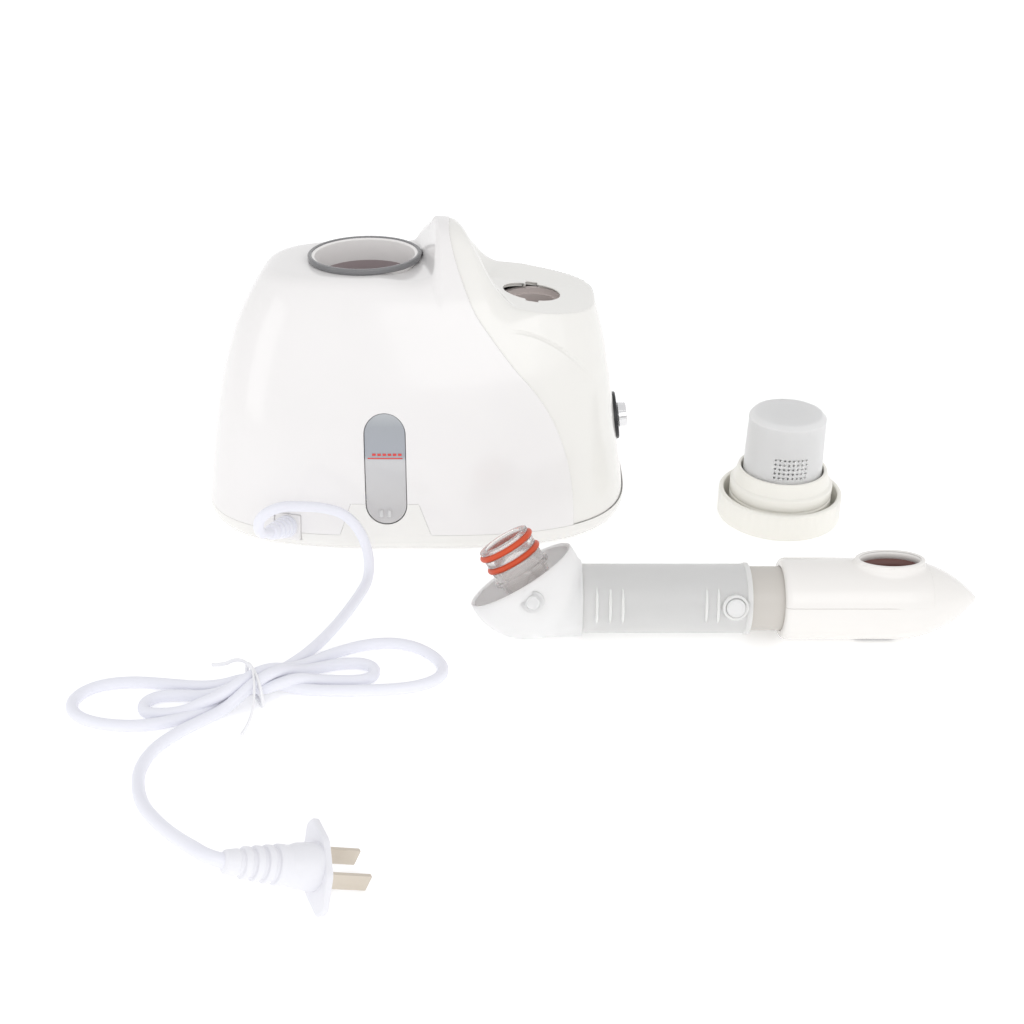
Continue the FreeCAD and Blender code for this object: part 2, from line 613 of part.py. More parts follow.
def make_elbow():
    centre = Vector(size("ball_x"), 0, size("ball_rise"))
    skins = []
    for name, grow in (("Outer", 0.0), ("Inner", -size("ball_wall"))):
        ball = add("Part::Sphere", "Ball" + name, arm_frame().multiply(
            Placement(centre, Rotation())), Radius=size("ball_radius") + grow)
        skins.append(ball)
    sleeve = arm_cylinder("Sleeve", "sleeve_radius", 58.0, size("sleeve_end"))
    airway = arm_cylinder("Airway", "airway", 58.0, size("tube_start") + 1.0)
    seat = arm_cylinder("TubeSeat", "tube_radius", size("tube_start"), size("sleeve_end") + 1.0)
    mouth = cylinder("Mouth", 60.0, 60.0)
    mouth.Placement = in_arm(centre + neck_direction() * size("mouth_plane"), neck_direction())
    keep("elbow_housing", cut("ElbowHousing", fuse("ElbowSkin", skins[0], sleeve), skins[1],
                              airway, seat, mouth, pin_hole("ElbowPinHole", "pin_radius")))
    half = size("pin_half")
    pin = placed_cylinder("PivotPin", arm_frame(), "pin_radius", 2 * half, pivot() - Y * half, Y)
    keep("pivot_pin", pin)


def make_tube():
    start, end = size("tube_start"), size("tube_end")
    skin = [arm_cylinder("TubeSkin", "tube_radius", start, end),
            arm_cylinder("TubeLip", "tube_radius + 0.5", end - 2.2, end)]
    for index, across in enumerate((87.2, 93.0, 98.4, 134.5, 139.6)):
        ring = arm_cylinder("RibRing%d" % index, "tube_radius + 0.45", across, across + 0.9)
        window = add("Part::Box", "RibWindow%d" % index,
                     arm_frame().multiply(Placement(Vector(across - 1, -20, -8.5), Rotation())),
                     Length=3.0, Width=20.0, Height=17.0)
        skin.append(common("Rib%d" % index, ring, window))
    spot = Vector(size("button_x"), -size("tube_radius") + 1.4, 0)
    skin.append(placed_cylinder("ButtonRing", arm_frame(), "button_ring", 2.9, spot, -Y))
    bore = arm_cylinder("TubeBore", "tube_bore", start - 1, end + 1)
    well = placed_cylinder("ButtonWell", arm_frame(), "button_radius + 0.1", 8.0,
                           spot + Y * 2.0, -Y)
    keep("arm_tube", cut("ArmTube", fuse("TubeSkins", *skin), bore, well))
    button = placed_cylinder("ButtonBody", arm_frame(), "button_radius", 2.2,
                             Vector(size("button_x"), -size("tube_radius") - 0.1, 0), -Y)
    keep("detent_button", button)
    slider = arm_cylinder("SliderSkin", "slider_radius", size("slider_start"), size("slider_end"))
    slider_bore = arm_cylinder("SliderBore", "slider_bore", 80.0, 190.0)
    keep("slide_tube", cut("SlideTube", slider, slider_bore))


NECK_DROP = 5.0


def make_neck():
    place = in_arm(pivot() - neck_direction() * NECK_DROP, neck_direction())
    outline = [("neck_radius - 1.7", 0), ("neck_radius - 0.5", 13.0), ("neck_flange", 13.0),
               ("neck_flange", 15.0), ("neck_radius", 15.0)]
    for middle in ("ring_low", "ring_high"):
        for edge, radius in (("- 1.45", "neck_radius"), ("- 1.45", "groove_floor"),
                             ("+ 1.45", "groove_floor"), ("+ 1.45", "neck_radius")):
            outline.append((radius, "%s + %s %s" % (middle, NECK_DROP, edge)))
    outline += [("neck_radius", "neck_top + 5.0"), ("neck_hole", "neck_top + 5.0"),
                ("neck_hole", 11.0), ("neck_hole - 0.8", 0)]
    turned = revolved("NeckTurn", outline, place)
    bosses = placed_cylinder("NeckBosses", arm_frame(), 4.2, 40.0, pivot() - Y * 20.0, Y)
    passage = add("Part::Cone", "NeckPassage", place, Radius1="neck_hole - 0.8",
                  Radius2="neck_hole", Height=11.0)
    keep("neck_tube", cut("NeckTube", fuse("NeckBody", turned, bosses), passage,
                          pin_hole("NeckPinHole")))
    for node, middle in (("lower_seal", "ring_low"), ("upper_seal", "ring_high")):
        centre = pivot() + neck_direction() * size(middle)
        ring = add("Part::Torus", node + "_ring", in_arm(centre, neck_direction()),
                   Radius1="groove_floor + ring_section", Radius2="ring_section")
        keep(node, ring)


def nozzle_shell():
    """The bullet-nosed nozzle turned about X, with its bore at the tube end."""
    start, nose, tip = size("nozzle_start"), size("nose_start"), size("nozzle_tip")
    radius, wall = size("nozzle_radius"), size("nozzle_wall")
    bore = size("slider_radius") + size("running_gap")

    def ogive(reach, height):
        """A point of the nose arc, tangent to the barrel, and its blunt end near the axis."""
        drop = height - blunt
        sweep = (reach * reach + drop * drop) / (2 * drop)
        angle = math.asin(reach / sweep) / 2
        middle = Vector(nose + sweep * math.sin(angle), 0, height - sweep * (1 - math.cos(angle)))
        return middle, Vector(nose + reach, 0, blunt)

    blunt = 0.8
    outer_mid, outer_tip = ogive(tip - nose, radius)
    inner_mid, inner_tip = ogive(tip - nose - 2.6, radius - wall)
    corners = {"lip": Vector(start, 0, bore), "edge": Vector(start, 0, radius - 2.4),
               "shoulder": Vector(start + 2.4, 0, radius), "barrel": Vector(nose, 0, radius),
               "inner_barrel": Vector(nose, 0, radius - wall),
               "cone": Vector(start + 14, 0, radius - wall), "stop": Vector(start + 12, 0, bore),
               "outer_end": Vector(outer_tip.x, 0, 0), "inner_end": Vector(inner_tip.x, 0, 0)}
    bend = Vector(start + 0.7, 0, radius - 0.7)
    wire = Part.Wire([
        Part.makeLine(corners["lip"], corners["edge"]),
        Part.Arc(corners["edge"], bend, corners["shoulder"]).toShape(),
        Part.makeLine(corners["shoulder"], corners["barrel"]),
        Part.Arc(corners["barrel"], outer_mid, outer_tip).toShape(),
        Part.makeLine(outer_tip, corners["outer_end"]),
        Part.makeLine(corners["outer_end"], corners["inner_end"]),
        Part.makeLine(corners["inner_end"], inner_tip),
        Part.Arc(inner_tip, inner_mid, corners["inner_barrel"]).toShape(),
        Part.makeLine(corners["inner_barrel"], corners["cone"]),
        Part.makeLine(corners["cone"], corners["stop"]),
        Part.makeLine(corners["stop"], corners["lip"])])
    return Part.Face(wire).revolve(Vector(0, 0, 0), X, 360)


def nozzle_frame():
    """The nozzle's frame: its outlet stands upright, whatever the roll of the arm."""
    return Placement(Vector(0, size("arm_y"), size("arm_z")), Rotation())


def oval(half_length, half_width, height):
    curve = Part.Ellipse(Vector(size("outlet_x"), 0, height), half_length, half_width)
    return Part.Wire(curve.toShape())


def make_nozzle():
    shell = nozzle_shell()
    split_end = size("nozzle_split_end")
    upper_half = Part.makeBox(split_end - 150, 60, 40, Vector(150, -30, 0))
    upper_half.rotate(Vector(0, 0, 0), X, -size("arm_roll"))
    half, side, lip = size("outlet_half"), size("outlet_side"), size("outlet_lip")
    top = size("outlet_top")
    hollow = Part.makeCylinder(size("nozzle_radius") - size("nozzle_wall"), 110,
                               Vector(150, 0, 0), X)
    collar = Part.makeLoft([oval(half - 2.2, side - 1.4, 12.0), oval(half - 1.6, side - 0.9, 17.5),
                            oval(half, side, top)], True, False).cut(hollow)
    opening = Part.makeLoft([oval(half - lip - 1.6, side - lip - 0.6, 8.0),
                             oval(half - lip, side - lip, top + 1)], True, False)
    vent = Part.makeBox(17, 3, 8, Vector(203.5, -1.5, -21))
    vent.rotate(Vector(0, 0, 0), X, -size("arm_roll"))
    upper = shell.common(upper_half).fuse(collar).cut(opening)
    lower = shell.cut(upper_half).cut(vent)
    keep("nozzle_upper", feature("NozzleUpper", largest(upper), nozzle_frame()))
    keep("nozzle_lower", feature("NozzleLower", largest(lower), nozzle_frame()))
    grille = Part.makeCylinder(12.0, 1.2, Vector(size("outlet_x"), 0, 9.0))
    slots = [Part.makeBox(1.6, 14, 4, Vector(size("outlet_x") - 8.8 + 4 * index, -7, 8))
             for index in range(5)]
    wings = Part.makeBox(5, 24.4, 1.2, Vector(size("outlet_x") - 2.5, -12.2, 9.0))
    keep("outlet_grille", feature("OutletGrille", grille.cut(slots).fuse(wings),
                                  nozzle_frame()))


# ---------------------------------------------------------------- lid, basket and lead

def make_lid():
    here = Placement(Vector(size("lid_x"), size("lid_y"), 0), Rotation())
    cap = revolved("LidTurn", [
        (0, 0), ("lid_radius - 1.2", 0), ("lid_radius", 1.2), ("lid_radius", "lid_height"),
        ("lid_radius - lid_wall", "lid_height"), ("lid_radius - lid_wall", 2.2), (0, 2.2)], here)
    reach = size("lid_radius") + 0.35
    count = int(size("flute_count"))
    flutes = [Part.makeCylinder(size("flute_radius"), 20.0,
                                Vector(reach * math.cos(turn), reach * math.sin(turn), 1.5))
              for turn in (2 * math.pi * index / count for index in range(count))]
    keep("lid_cap", cut("LidCap", cap, feature("LidFlutes", Part.makeCompound(flutes), here)))
    keep("basket_holder", revolved("BasketHolder", [
        ("cup_radius + 0.5", 2.3), ("holder_radius", 2.3), ("holder_radius", "holder_step"),
        ("holder_radius - 1.6", "holder_step + 1.0"), ("cup_radius + 2.0", "holder_top"),
        ("cup_radius + 0.5", "holder_top")], here))
    cup = revolved("CupTurn", [
        ("cup_radius - cup_wall", "cup_low"), ("cup_radius", "cup_low"),
        ("cup_top_radius", "cup_top - 2.4"), ("cup_top_radius - 1.6", "cup_top - 0.5"),
        ("cup_top_radius - 3.0", "cup_top"), (0, "cup_top"), (0, "cup_top - cup_wall"),
        ("cup_top_radius - 3.2", "cup_top - 1.2"), ("cup_top_radius - 1.2", "cup_top - 3.4")],
        here)
    holes = []
    for panel in range(3):
        for column in range(8):
            turn = math.radians(-90 + 120 * panel + (column - 3.5) * 6.6)
            aim = Vector(math.cos(turn), math.sin(turn), 0)
            for level in range(5):
                holes.append(Part.makeCylinder(size("hole_radius"), 8.0,
                                               aim * 16.0 + Z * (29.6 + 2.4 * level), aim))
    keep("aroma_basket", cut("AromaBasket", cup,
                             feature("BasketHoles", Part.makeCompound(holes), here)))


def tube_along(points, radius):
    """A round tube along straight runs joined by the largest tangent arcs they allow."""
    nodes = [Vector(*point) for point in points]
    edges, start = [], nodes[0]
    for before, corner, after in zip(nodes, nodes[1:], nodes[2:]):
        arriving, leaving = corner - before, after - corner
        short = 0.45 * min(arriving.Length, leaving.Length)
        arriving.normalize()
        leaving.normalize()
        turn = arriving.getAngle(leaving)
        bend = short / math.tan(turn / 2)
        inward = leaving - arriving
        inward.normalize()
        centre = corner + inward * (bend / math.cos(turn / 2))
        middle = centre - inward * bend
        first, last = corner - arriving * short, corner + leaving * short
        edges.append(Part.LineSegment(start, first).toShape())
        edges.append(Part.Arc(first, middle, last).toShape())
        start = last
        if radius > 2.0:
            print("bend radius %.1f after a turn of %.0f degrees" % (bend, math.degrees(turn)))
    edges.append(Part.LineSegment(start, nodes[-1]).toShape())
    path = Part.Wire(edges)
    across = nodes[1] - nodes[0]
    ring = Part.Wire(Part.Circle(nodes[0], across, radius).toShape())
    tube = path.makePipeShell([ring], True, True)
    expected = math.pi * radius * radius * path.Length
    if abs(tube.Volume / expected - 1) > 0.02:
        raise RuntimeError("a tube's volume is off: %.0f, not %.0f" % (tube.Volume, expected))
    print("tube of radius %.2f, length %.0f" % (radius, path.Length))
    return tube


# The lead from its boot, over in a tight loop and down to the tie of its hank.
LEAD_ROUTE = [
    (-65.1, -86.0, 19.2), (-66.9, -93.5, 22.0), (-67.6, -101.0, 28.5), (-65.4, -105.5, 38.0),
    (-57.0, -101.5, 41.5), (-47.0, -95.0, 38.0), (-37.5, -91.0, 35.2), (-28.0, -88.6, 30.5),
    (-20.9, -90.0, 21.5), (-17.2, -94.5, 11.0), (-17.0, -102.5, 3.0), (-20.0, -116.0, 2.6),
    (-25.0, -133.5, 2.6), (-31.2, -150.5, 2.6), (-39.3, -166.5, 2.6), (-48.2, -177.6, 2.6),
    (-57.0, -188.3, 2.6),
]
# The lead from the hank's tie to the plug's boot.
TAIL_ROUTE = [
    (-59.8, -200.6, 4.4), (-66.4, -205.6, 3.4), (-74.0, -211.6, 2.6), (-82.5, -219.6, 2.6), (-89.5, -230.0, 2.6),
    (-91.8, -241.5, 2.6), (-89.6, -253.0, 2.6), (-84.6, -264.4, 4.2), (-76.6, -277.0, 8.6),
    (-67.7, -290.2, 14.6), (-59.3, -302.6, 21.6), (-53.0, -311.2, 26.6), (-47.9, -315.9, 27.6),
    (-41.8, -315.5, 25.1),
]
# The outline that the tied figure-of-eight hank fills on the table.
HANK_OUTLINE = [
    (-55.0, -183.5), (-66.0, -184.0), (-80.0, -185.5), (-94.0, -184.0), (-108.0, -182.0),
    (-121.0, -183.5), (-130.0, -190.5), (-132.5, -201.0), (-126.0, -211.5), (-115.0, -217.0),
    (-101.0, -218.5), (-88.0, -215.5), (-76.0, -208.5), (-64.0, -202.0), (-53.0, -198.0),
    (-44.0, -194.0), (-31.0, -193.5), (-15.0, -193.5), (1.0, -192.8), (13.0, -190.5),
    (22.0, -184.5), (23.8, -175.0), (20.5, -166.0), (11.0, -156.5), (-1.0, -153.0),
    (-14.0, -154.5), (-28.0, -161.0), (-40.0, -170.0), (-49.0, -179.0),
]
HANK_FLOOR, HANK_HEIGHT = 0.3, 10.4


def make_lead():
    place = gland_frame()
    keep("cord_gland", feature("CordGland", gland_block(14.0, 13.0, 6.0, 1.2)))
    boot = add("Part::Cone", "BootCone", place.multiply(Placement(Vector(0, 0, 1.2), Rotation())),
               Radius1="boot_root", Radius2="boot_end", Height="boot_length - 0.6")
    grooves = []
    for index in range(4):
        ring = add("Part::Torus", "BootGroove%d" % index, place.multiply(
            Placement(Vector(0, 0, 5.5 + 3.4 * index), Rotation())),
            Radius1=5.6 - 0.31 * index, Radius2=0.9)
        grooves.append(ring)
    keep("strain_relief", cut("StrainRelief", boot, *grooves))
    keep("cord_lead", feature("CordLead", tube_along(LEAD_ROUTE, size("cord_radius"))))
    keep("cord_tail", feature("CordTail", tube_along(TAIL_ROUTE, size("cord_radius"))))
    curve = Part.BSplineCurve()
    curve.interpolate([Vector(across, along, HANK_FLOOR) for across, along in HANK_OUTLINE],
                      PeriodicFlag=True)
    hank = Part.Face(Part.Wire(curve.toShape())).extrude(Z * HANK_HEIGHT)
    keep("cord_hank", feature("CordHank", hank))
    band = Part.makeBox(3.0, 22.0, HANK_HEIGHT + 2.0, Vector(-1.5, -11.0, 0))
    band = band.cut(Part.makeBox(5.0, 19.0, HANK_HEIGHT + 0.8, Vector(-2.5, -9.5, -0.1)))
    band.rotate(Vector(0, 0, 0), Z, 28.0)
    band.translate(Vector(-56.0, -191.5, 0))
    flat = tube_along([(-55.6, -192.5, 13.0), (-54.0, -199.0, 13.2), (-53.6, -206.0, 8.0),
                       (-54.6, -213.0, 2.2), (-57.0, -219.5, 1.2)], 0.8)
    thin = tube_along([(-56.4, -190.6, 13.0), (-60.0, -186.6, 14.0), (-66.0, -181.6, 11.0),
                       (-71.6, -177.6, 6.0), (-77.0, -174.6, 4.0)], 0.7)
    keep("twist_tie", feature("TwistTie", band.fuse([flat, thin])))


PLUG_AXIS = Vector(0.822, 0.379, -0.426)
PLUG_SPREAD = Vector(-0.394, 0.917, 0.055)
PLUG_FACE = Vector(-13.9, -302.6, 10.6)


def make_plug():
    """The two-pin plug, its axis towards the pins, its pins side by side along its own X."""
    turn = Rotation(PLUG_SPREAD, PLUG_AXIS.cross(PLUG_SPREAD), PLUG_AXIS, "ZXY")
    front = Placement(PLUG_FACE, turn)
    rear = front.multiply(Placement(Vector(0, 0, -2.6), Rotation(X, 180)))
    body = revolved("PlugTurn", [
        (0, 0), (8.0, 0), (7.8, 9.0), (7.2, 11.2), (6.0, 11.2), (6.0, 12.8), (7.0, 12.8),
        (6.6, 18.0), (4.2, 31.3), (0, 31.3)], rear)
    plate = Part.makeCylinder(9.4, 2.6, Vector(0, 0, -2.6))
    ears = [Part.makeCylinder(3.4, 2.6, Vector(side * 14.0, 0, -2.6)) for side in (-1, 1)]
    web = Part.Face(Part.makePolygon([
        Vector(-15.6, -3.0, -2.6), Vector(-4.2, -8.4, -2.6), Vector(4.2, -8.4, -2.6),
        Vector(15.6, -3.0, -2.6), Vector(15.6, 3.0, -2.6), Vector(4.2, 8.4, -2.6),
        Vector(-4.2, 8.4, -2.6), Vector(-15.6, 3.0, -2.6), Vector(-15.6, -3.0, -2.6)]))
    flange = plate.fuse(ears + [web.extrude(Z * 2.6)])
    flange.rotate(Vector(0, 0, 0), Z, 26.0)
    keep("plug_body", fuse("PlugBody", body, feature("PlugFlange", flange, front)))
    pins = []
    for index, side in enumerate((-0.5, 0.5)):
        low = Vector(side * size("pin_pitch") - size("pin_thick") / 2, -size("pin_width") / 2, 0)
        pins.append(add("Part::Box", "PlugPin%d" % index, front.multiply(
            Placement(low, Rotation())), Length="pin_thick", Width="pin_width",
            Height="pin_length"))
    keep("plug_pins", fuse("PlugPins", *pins))


def check_and_write():
    doc.recompute()
    for obj in doc.Objects:
        if "Invalid" in obj.State or "Error" in obj.State:
            raise RuntimeError("%s failed: %s" % (obj.Name, obj.State))
    for node, obj in parts.items():
        shape = obj.Shape
        if shape.isNull() or not shape.isValid():
            raise RuntimeError("%s has no valid shape" % node)
        print("%-15s %d solids, %.0f mm3" % (node, len(shape.Solids), shape.Volume))
        shape.exportStep("parts/%s.step" % node)


make_housing()
make_tank()
make_boiler()
make_electrics()
make_knob()
make_feet_and_screws()
make_elbow()
make_tube()
make_neck()
make_nozzle()
make_lid()
make_lead()
make_plug()
check_and_write()
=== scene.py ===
"""Facial steamer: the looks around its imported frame.  Lengths in this file are millimetres."""
import json
import math

import bmesh
import bpy
import numpy as np
from mathutils import Matrix, Vector


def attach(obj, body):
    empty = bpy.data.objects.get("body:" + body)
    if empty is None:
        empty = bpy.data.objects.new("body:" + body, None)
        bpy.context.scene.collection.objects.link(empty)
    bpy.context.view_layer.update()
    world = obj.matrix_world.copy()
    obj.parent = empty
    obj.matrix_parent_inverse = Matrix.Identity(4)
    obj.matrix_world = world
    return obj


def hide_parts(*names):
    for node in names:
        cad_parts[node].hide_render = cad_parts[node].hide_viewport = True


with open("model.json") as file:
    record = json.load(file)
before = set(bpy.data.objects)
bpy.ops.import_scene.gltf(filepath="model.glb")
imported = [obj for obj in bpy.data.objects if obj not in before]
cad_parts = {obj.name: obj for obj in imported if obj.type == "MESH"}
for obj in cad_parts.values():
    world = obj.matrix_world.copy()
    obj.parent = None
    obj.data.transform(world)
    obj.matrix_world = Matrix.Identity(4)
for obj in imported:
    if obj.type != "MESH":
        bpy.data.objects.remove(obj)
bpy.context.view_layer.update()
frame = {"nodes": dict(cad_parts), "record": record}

MM = 0.001
Z = Vector((0, 0, 1))
ELSEWHERE = 60.0  # the distance an edge function gives where it has no say
SEAM_GAP = 0.02
SHELL_WALL = 2.2
FILLER = (-22.4, 1.0)
SOCKET = (60.8, -3.0)
TUBE_LINE = (0, -143.5, 18.0)
OUTLET_X = 215.6
LID_PLACE = (190.0, -30.8, 0)


# ---------------------------------------------------------------- camera and cord

def make_camera():
    data = bpy.data.cameras.new("view")
    data.lens, data.sensor_width = 46.48, 36.0
    data.clip_start, data.clip_end = 0.01, 20.0
    camera = bpy.data.objects.new("view", data)
    camera.location = (0.05095, -0.6394, 0.3306)
    camera.rotation_euler = (math.radians(90.0 - 28.5), 0.0, 0.0)
    bpy.context.scene.collection.objects.link(camera)
    bpy.context.scene.camera = camera


# The lead from its boot, over a tight fold and down to the floor.
LEAD_ROUTE = [
    (-65.1, -86.0, 19.2), (-66.9, -93.5, 22.0), (-67.6, -101.0, 28.5), (-65.4, -105.5, 38.0),
    (-57.0, -101.5, 41.5), (-47.0, -95.0, 38.0), (-37.5, -91.0, 35.2), (-28.0, -88.6, 30.5),
    (-20.9, -90.0, 21.5), (-17.2, -94.5, 11.0), (-17.0, -102.5, 3.0), (-20.0, -116.0, 2.6),
    (-25.0, -133.5, 2.6), (-31.2, -150.5, 2.6), (-39.3, -166.5, 2.6), (-48.2, -177.6, 2.6),
]
# The tied hank: a large loop each side of the tie, then a small one each side inside them.
HANK_ROUTE = [
    (-55.5, -186.5, 2.6), (-62.5, -194.8, 2.6), (-71.0, -203.2, 2.6), (-80.5, -209.4, 2.6),
    (-91.0, -213.6, 2.6), (-102.0, -215.3, 2.6), (-115.5, -213.6, 2.6), (-126.0, -208.5, 2.6),
    (-130.4, -200.0, 2.6), (-127.6, -191.8, 2.6), (-119.5, -186.4, 2.6), (-107.0, -184.8, 2.6),
    (-92.0, -186.8, 2.6), (-79.5, -188.6, 2.6), (-69.5, -189.4, 4.2), (-62.0, -189.4, 7.0),
    (-53.0, -188.6, 7.0), (-44.0, -189.6, 3.8), (-31.0, -191.2, 2.6), (-15.4, -191.3, 2.6),
    (1.0, -190.4, 2.6), (12.5, -188.0, 2.6), (20.6, -182.4, 2.6), (22.0, -174.8, 2.6),
    (17.6, -166.6, 2.6), (9.0, -158.8, 2.6), (-1.5, -155.6, 2.6), (-14.0, -157.2, 2.6),
    (-27.0, -164.0, 2.6), (-37.2, -172.4, 2.8), (-43.8, -179.0, 5.0), (-49.4, -184.8, 9.6),
    (-54.6, -190.2, 11.2), (-60.6, -196.0, 10.4), (-67.0, -200.8, 7.6), (-74.5, -204.4, 6.2),
    (-83.0, -206.4, 3.0), (-91.5, -207.4, 2.6), (-98.4, -206.4, 2.6), (-100.4, -200.4, 2.6),
    (-96.0, -195.0, 2.6), (-86.0, -194.2, 2.6), (-77.0, -195.2, 2.6), (-69.5, -195.4, 4.6),
    (-64.5, -195.0, 7.0), (-58.0, -194.8, 7.0), (-51.6, -194.6, 5.8), (-45.6, -192.4, 7.0),
    (-38.6, -188.4, 7.0), (-30.5, -185.2, 3.6), (-21.0, -184.4, 2.6), (-13.0, -184.2, 2.6),
    (-7.4, -181.4, 2.6), (-7.6, -174.6, 2.6), (-13.5, -171.2, 2.6), (-22.0, -171.6, 2.6),
    (-30.5, -174.4, 2.6), (-37.8, -179.2, 4.0), (-43.6, -184.6, 8.6), (-48.8, -190.4, 11.0),
    (-54.6, -196.8, 10.8), (-60.4, -201.4, 7.0),
]
# From the tie over the floor and up to the plug's boot.
TAIL_ROUTE = [
    (-66.4, -205.6, 3.4), (-74.0, -211.6, 2.6), (-82.5, -219.6, 2.6), (-89.5, -230.0, 2.6),
    (-91.8, -241.5, 2.6), (-89.6, -253.0, 2.6), (-84.6, -264.4, 4.2), (-76.6, -277.0, 8.6),
    (-67.7, -290.2, 14.6), (-59.3, -302.6, 21.6), (-53.0, -311.2, 26.6), (-47.9, -315.9, 27.6),
    (-41.8, -315.5, 25.1),
]


def nurbs(name, points, radius, closed=False):
    curve = bpy.data.curves.new(name, "CURVE")
    curve.dimensions = "3D"
    curve.bevel_depth, curve.bevel_resolution, curve.resolution_u = radius * MM, 6, 8
    curve.use_fill_caps = True
    spline = curve.splines.new("NURBS")
    spline.points.add(len(points) - 1)
    for point, place in zip(spline.points, points):
        point.co = (place[0] * MM, place[1] * MM, place[2] * MM, 1.0)
    spline.order_u = 3
    spline.use_cyclic_u = closed
    if not closed:
        spline.use_endpoint_u = True
    piece = bpy.data.objects.new(name, curve)
    bpy.context.scene.collection.objects.link(piece)
    return piece


make_camera()
lead = nurbs("mains_lead", LEAD_ROUTE + HANK_ROUTE + TAIL_ROUTE, 2.5)


# ---------------------------------------------------------------- materials

def shader(name, colour, roughness, grain=900.0, bump=0.02, vary=0.03, **inputs):
    """A moulded surface: fine bump and a faint mottling of colour and gloss from noise."""
    material = bpy.data.materials.new(name)
    material.use_nodes = True
    nodes, links = material.node_tree.nodes, material.node_tree.links
    base = nodes["Principled BSDF"]
    place = nodes.new("ShaderNodeTexCoord")
    cloud = nodes.new("ShaderNodeTexNoise")
    cloud.inputs["Scale"].default_value = 18.0
    cloud.inputs["Detail"].default_value = 3.0
    fine = nodes.new("ShaderNodeTexNoise")
    fine.inputs["Scale"].default_value = grain
    tint = nodes.new("ShaderNodeMix")
    tint.data_type = "RGBA"
    tint.inputs["A"].default_value = (*[max(part * (1 - vary), 0) for part in colour], 1)
    tint.inputs["B"].default_value = (*[min(part * (1 + vary), 1) for part in colour], 1)
    gloss = nodes.new("ShaderNodeMapRange")
    gloss.inputs["To Min"].default_value = roughness * 0.88
    gloss.inputs["To Max"].default_value = roughness * 1.12
    relief = nodes.new("ShaderNodeBump")
    relief.inputs["Strength"].default_value = bump
    relief.inputs["Distance"].default_value = 0.0004
    links.new(place.outputs["Object"], cloud.inputs["Vector"])
    links.new(place.outputs["Object"], fine.inputs["Vector"])
    links.new(cloud.outputs["Fac"], tint.inputs["Factor"])
    links.new(tint.outputs["Result"], base.inputs["Base Color"])
    links.new(cloud.outputs["Fac"], gloss.inputs["Value"])
    links.new(gloss.outputs["Result"], base.inputs["Roughness"])
    links.new(fine.outputs["Fac"], relief.inputs["Height"])
    links.new(relief.outputs["Normal"], base.inputs["Normal"])
    for key, number in inputs.items():
        base.inputs[key.replace("_", " ")].default_value = number
    return material


def window_shade_shader():
    """The clear lens over the water: its colour by height is painted shade of the tank's inside,
    grey-blue above the level line and paler below it.
    """
    material = shader("window_clear", (0.5, 0.5, 0.5), 0.1, bump=0.0, Coat_Weight=0.4)
    nodes, links = material.node_tree.nodes, material.node_tree.links
    place = nodes.new("ShaderNodeTexCoord")
    parts = nodes.new("ShaderNodeSeparateXYZ")
    height = nodes.new("ShaderNodeMapRange")
    height.inputs["From Min"].default_value = 0.012
    height.inputs["From Max"].default_value = 0.076
    ramp = nodes.new("ShaderNodeValToRGB")
    # Painted shade by height: darker above the level line, with lighter and darker bands near its
    # lower and upper edges.
    shade_stops = ((0.0, (0.60, 0.59, 0.59)), (0.10, (0.52, 0.51, 0.51)), (0.55, (0.58, 0.58, 0.59)),
             (0.58, (0.37, 0.39, 0.43)), (0.80, (0.36, 0.38, 0.41)), (0.90, (0.46, 0.48, 0.50)))
    for index, (spot, colour) in enumerate(shade_stops):
        stop = ramp.color_ramp.elements[index] if index < 2 else ramp.color_ramp.elements.new(spot)
        stop.position, stop.color = spot, (*colour, 1)
    links.new(place.outputs["Object"], parts.inputs["Vector"])
    links.new(parts.outputs["Z"], height.inputs["Value"])
    links.new(height.outputs["Result"], ramp.inputs["Fac"])
    links.new(ramp.outputs["Color"], nodes["Principled BSDF"].inputs["Base Color"])
    return material


FROSTED = {"Subsurface_Weight": 0.9, "Subsurface_Radius": (1.0, 1.0, 1.0),
           "Subsurface_Scale": 0.004, "Transmission_Weight": 0.12, "IOR": 1.4}
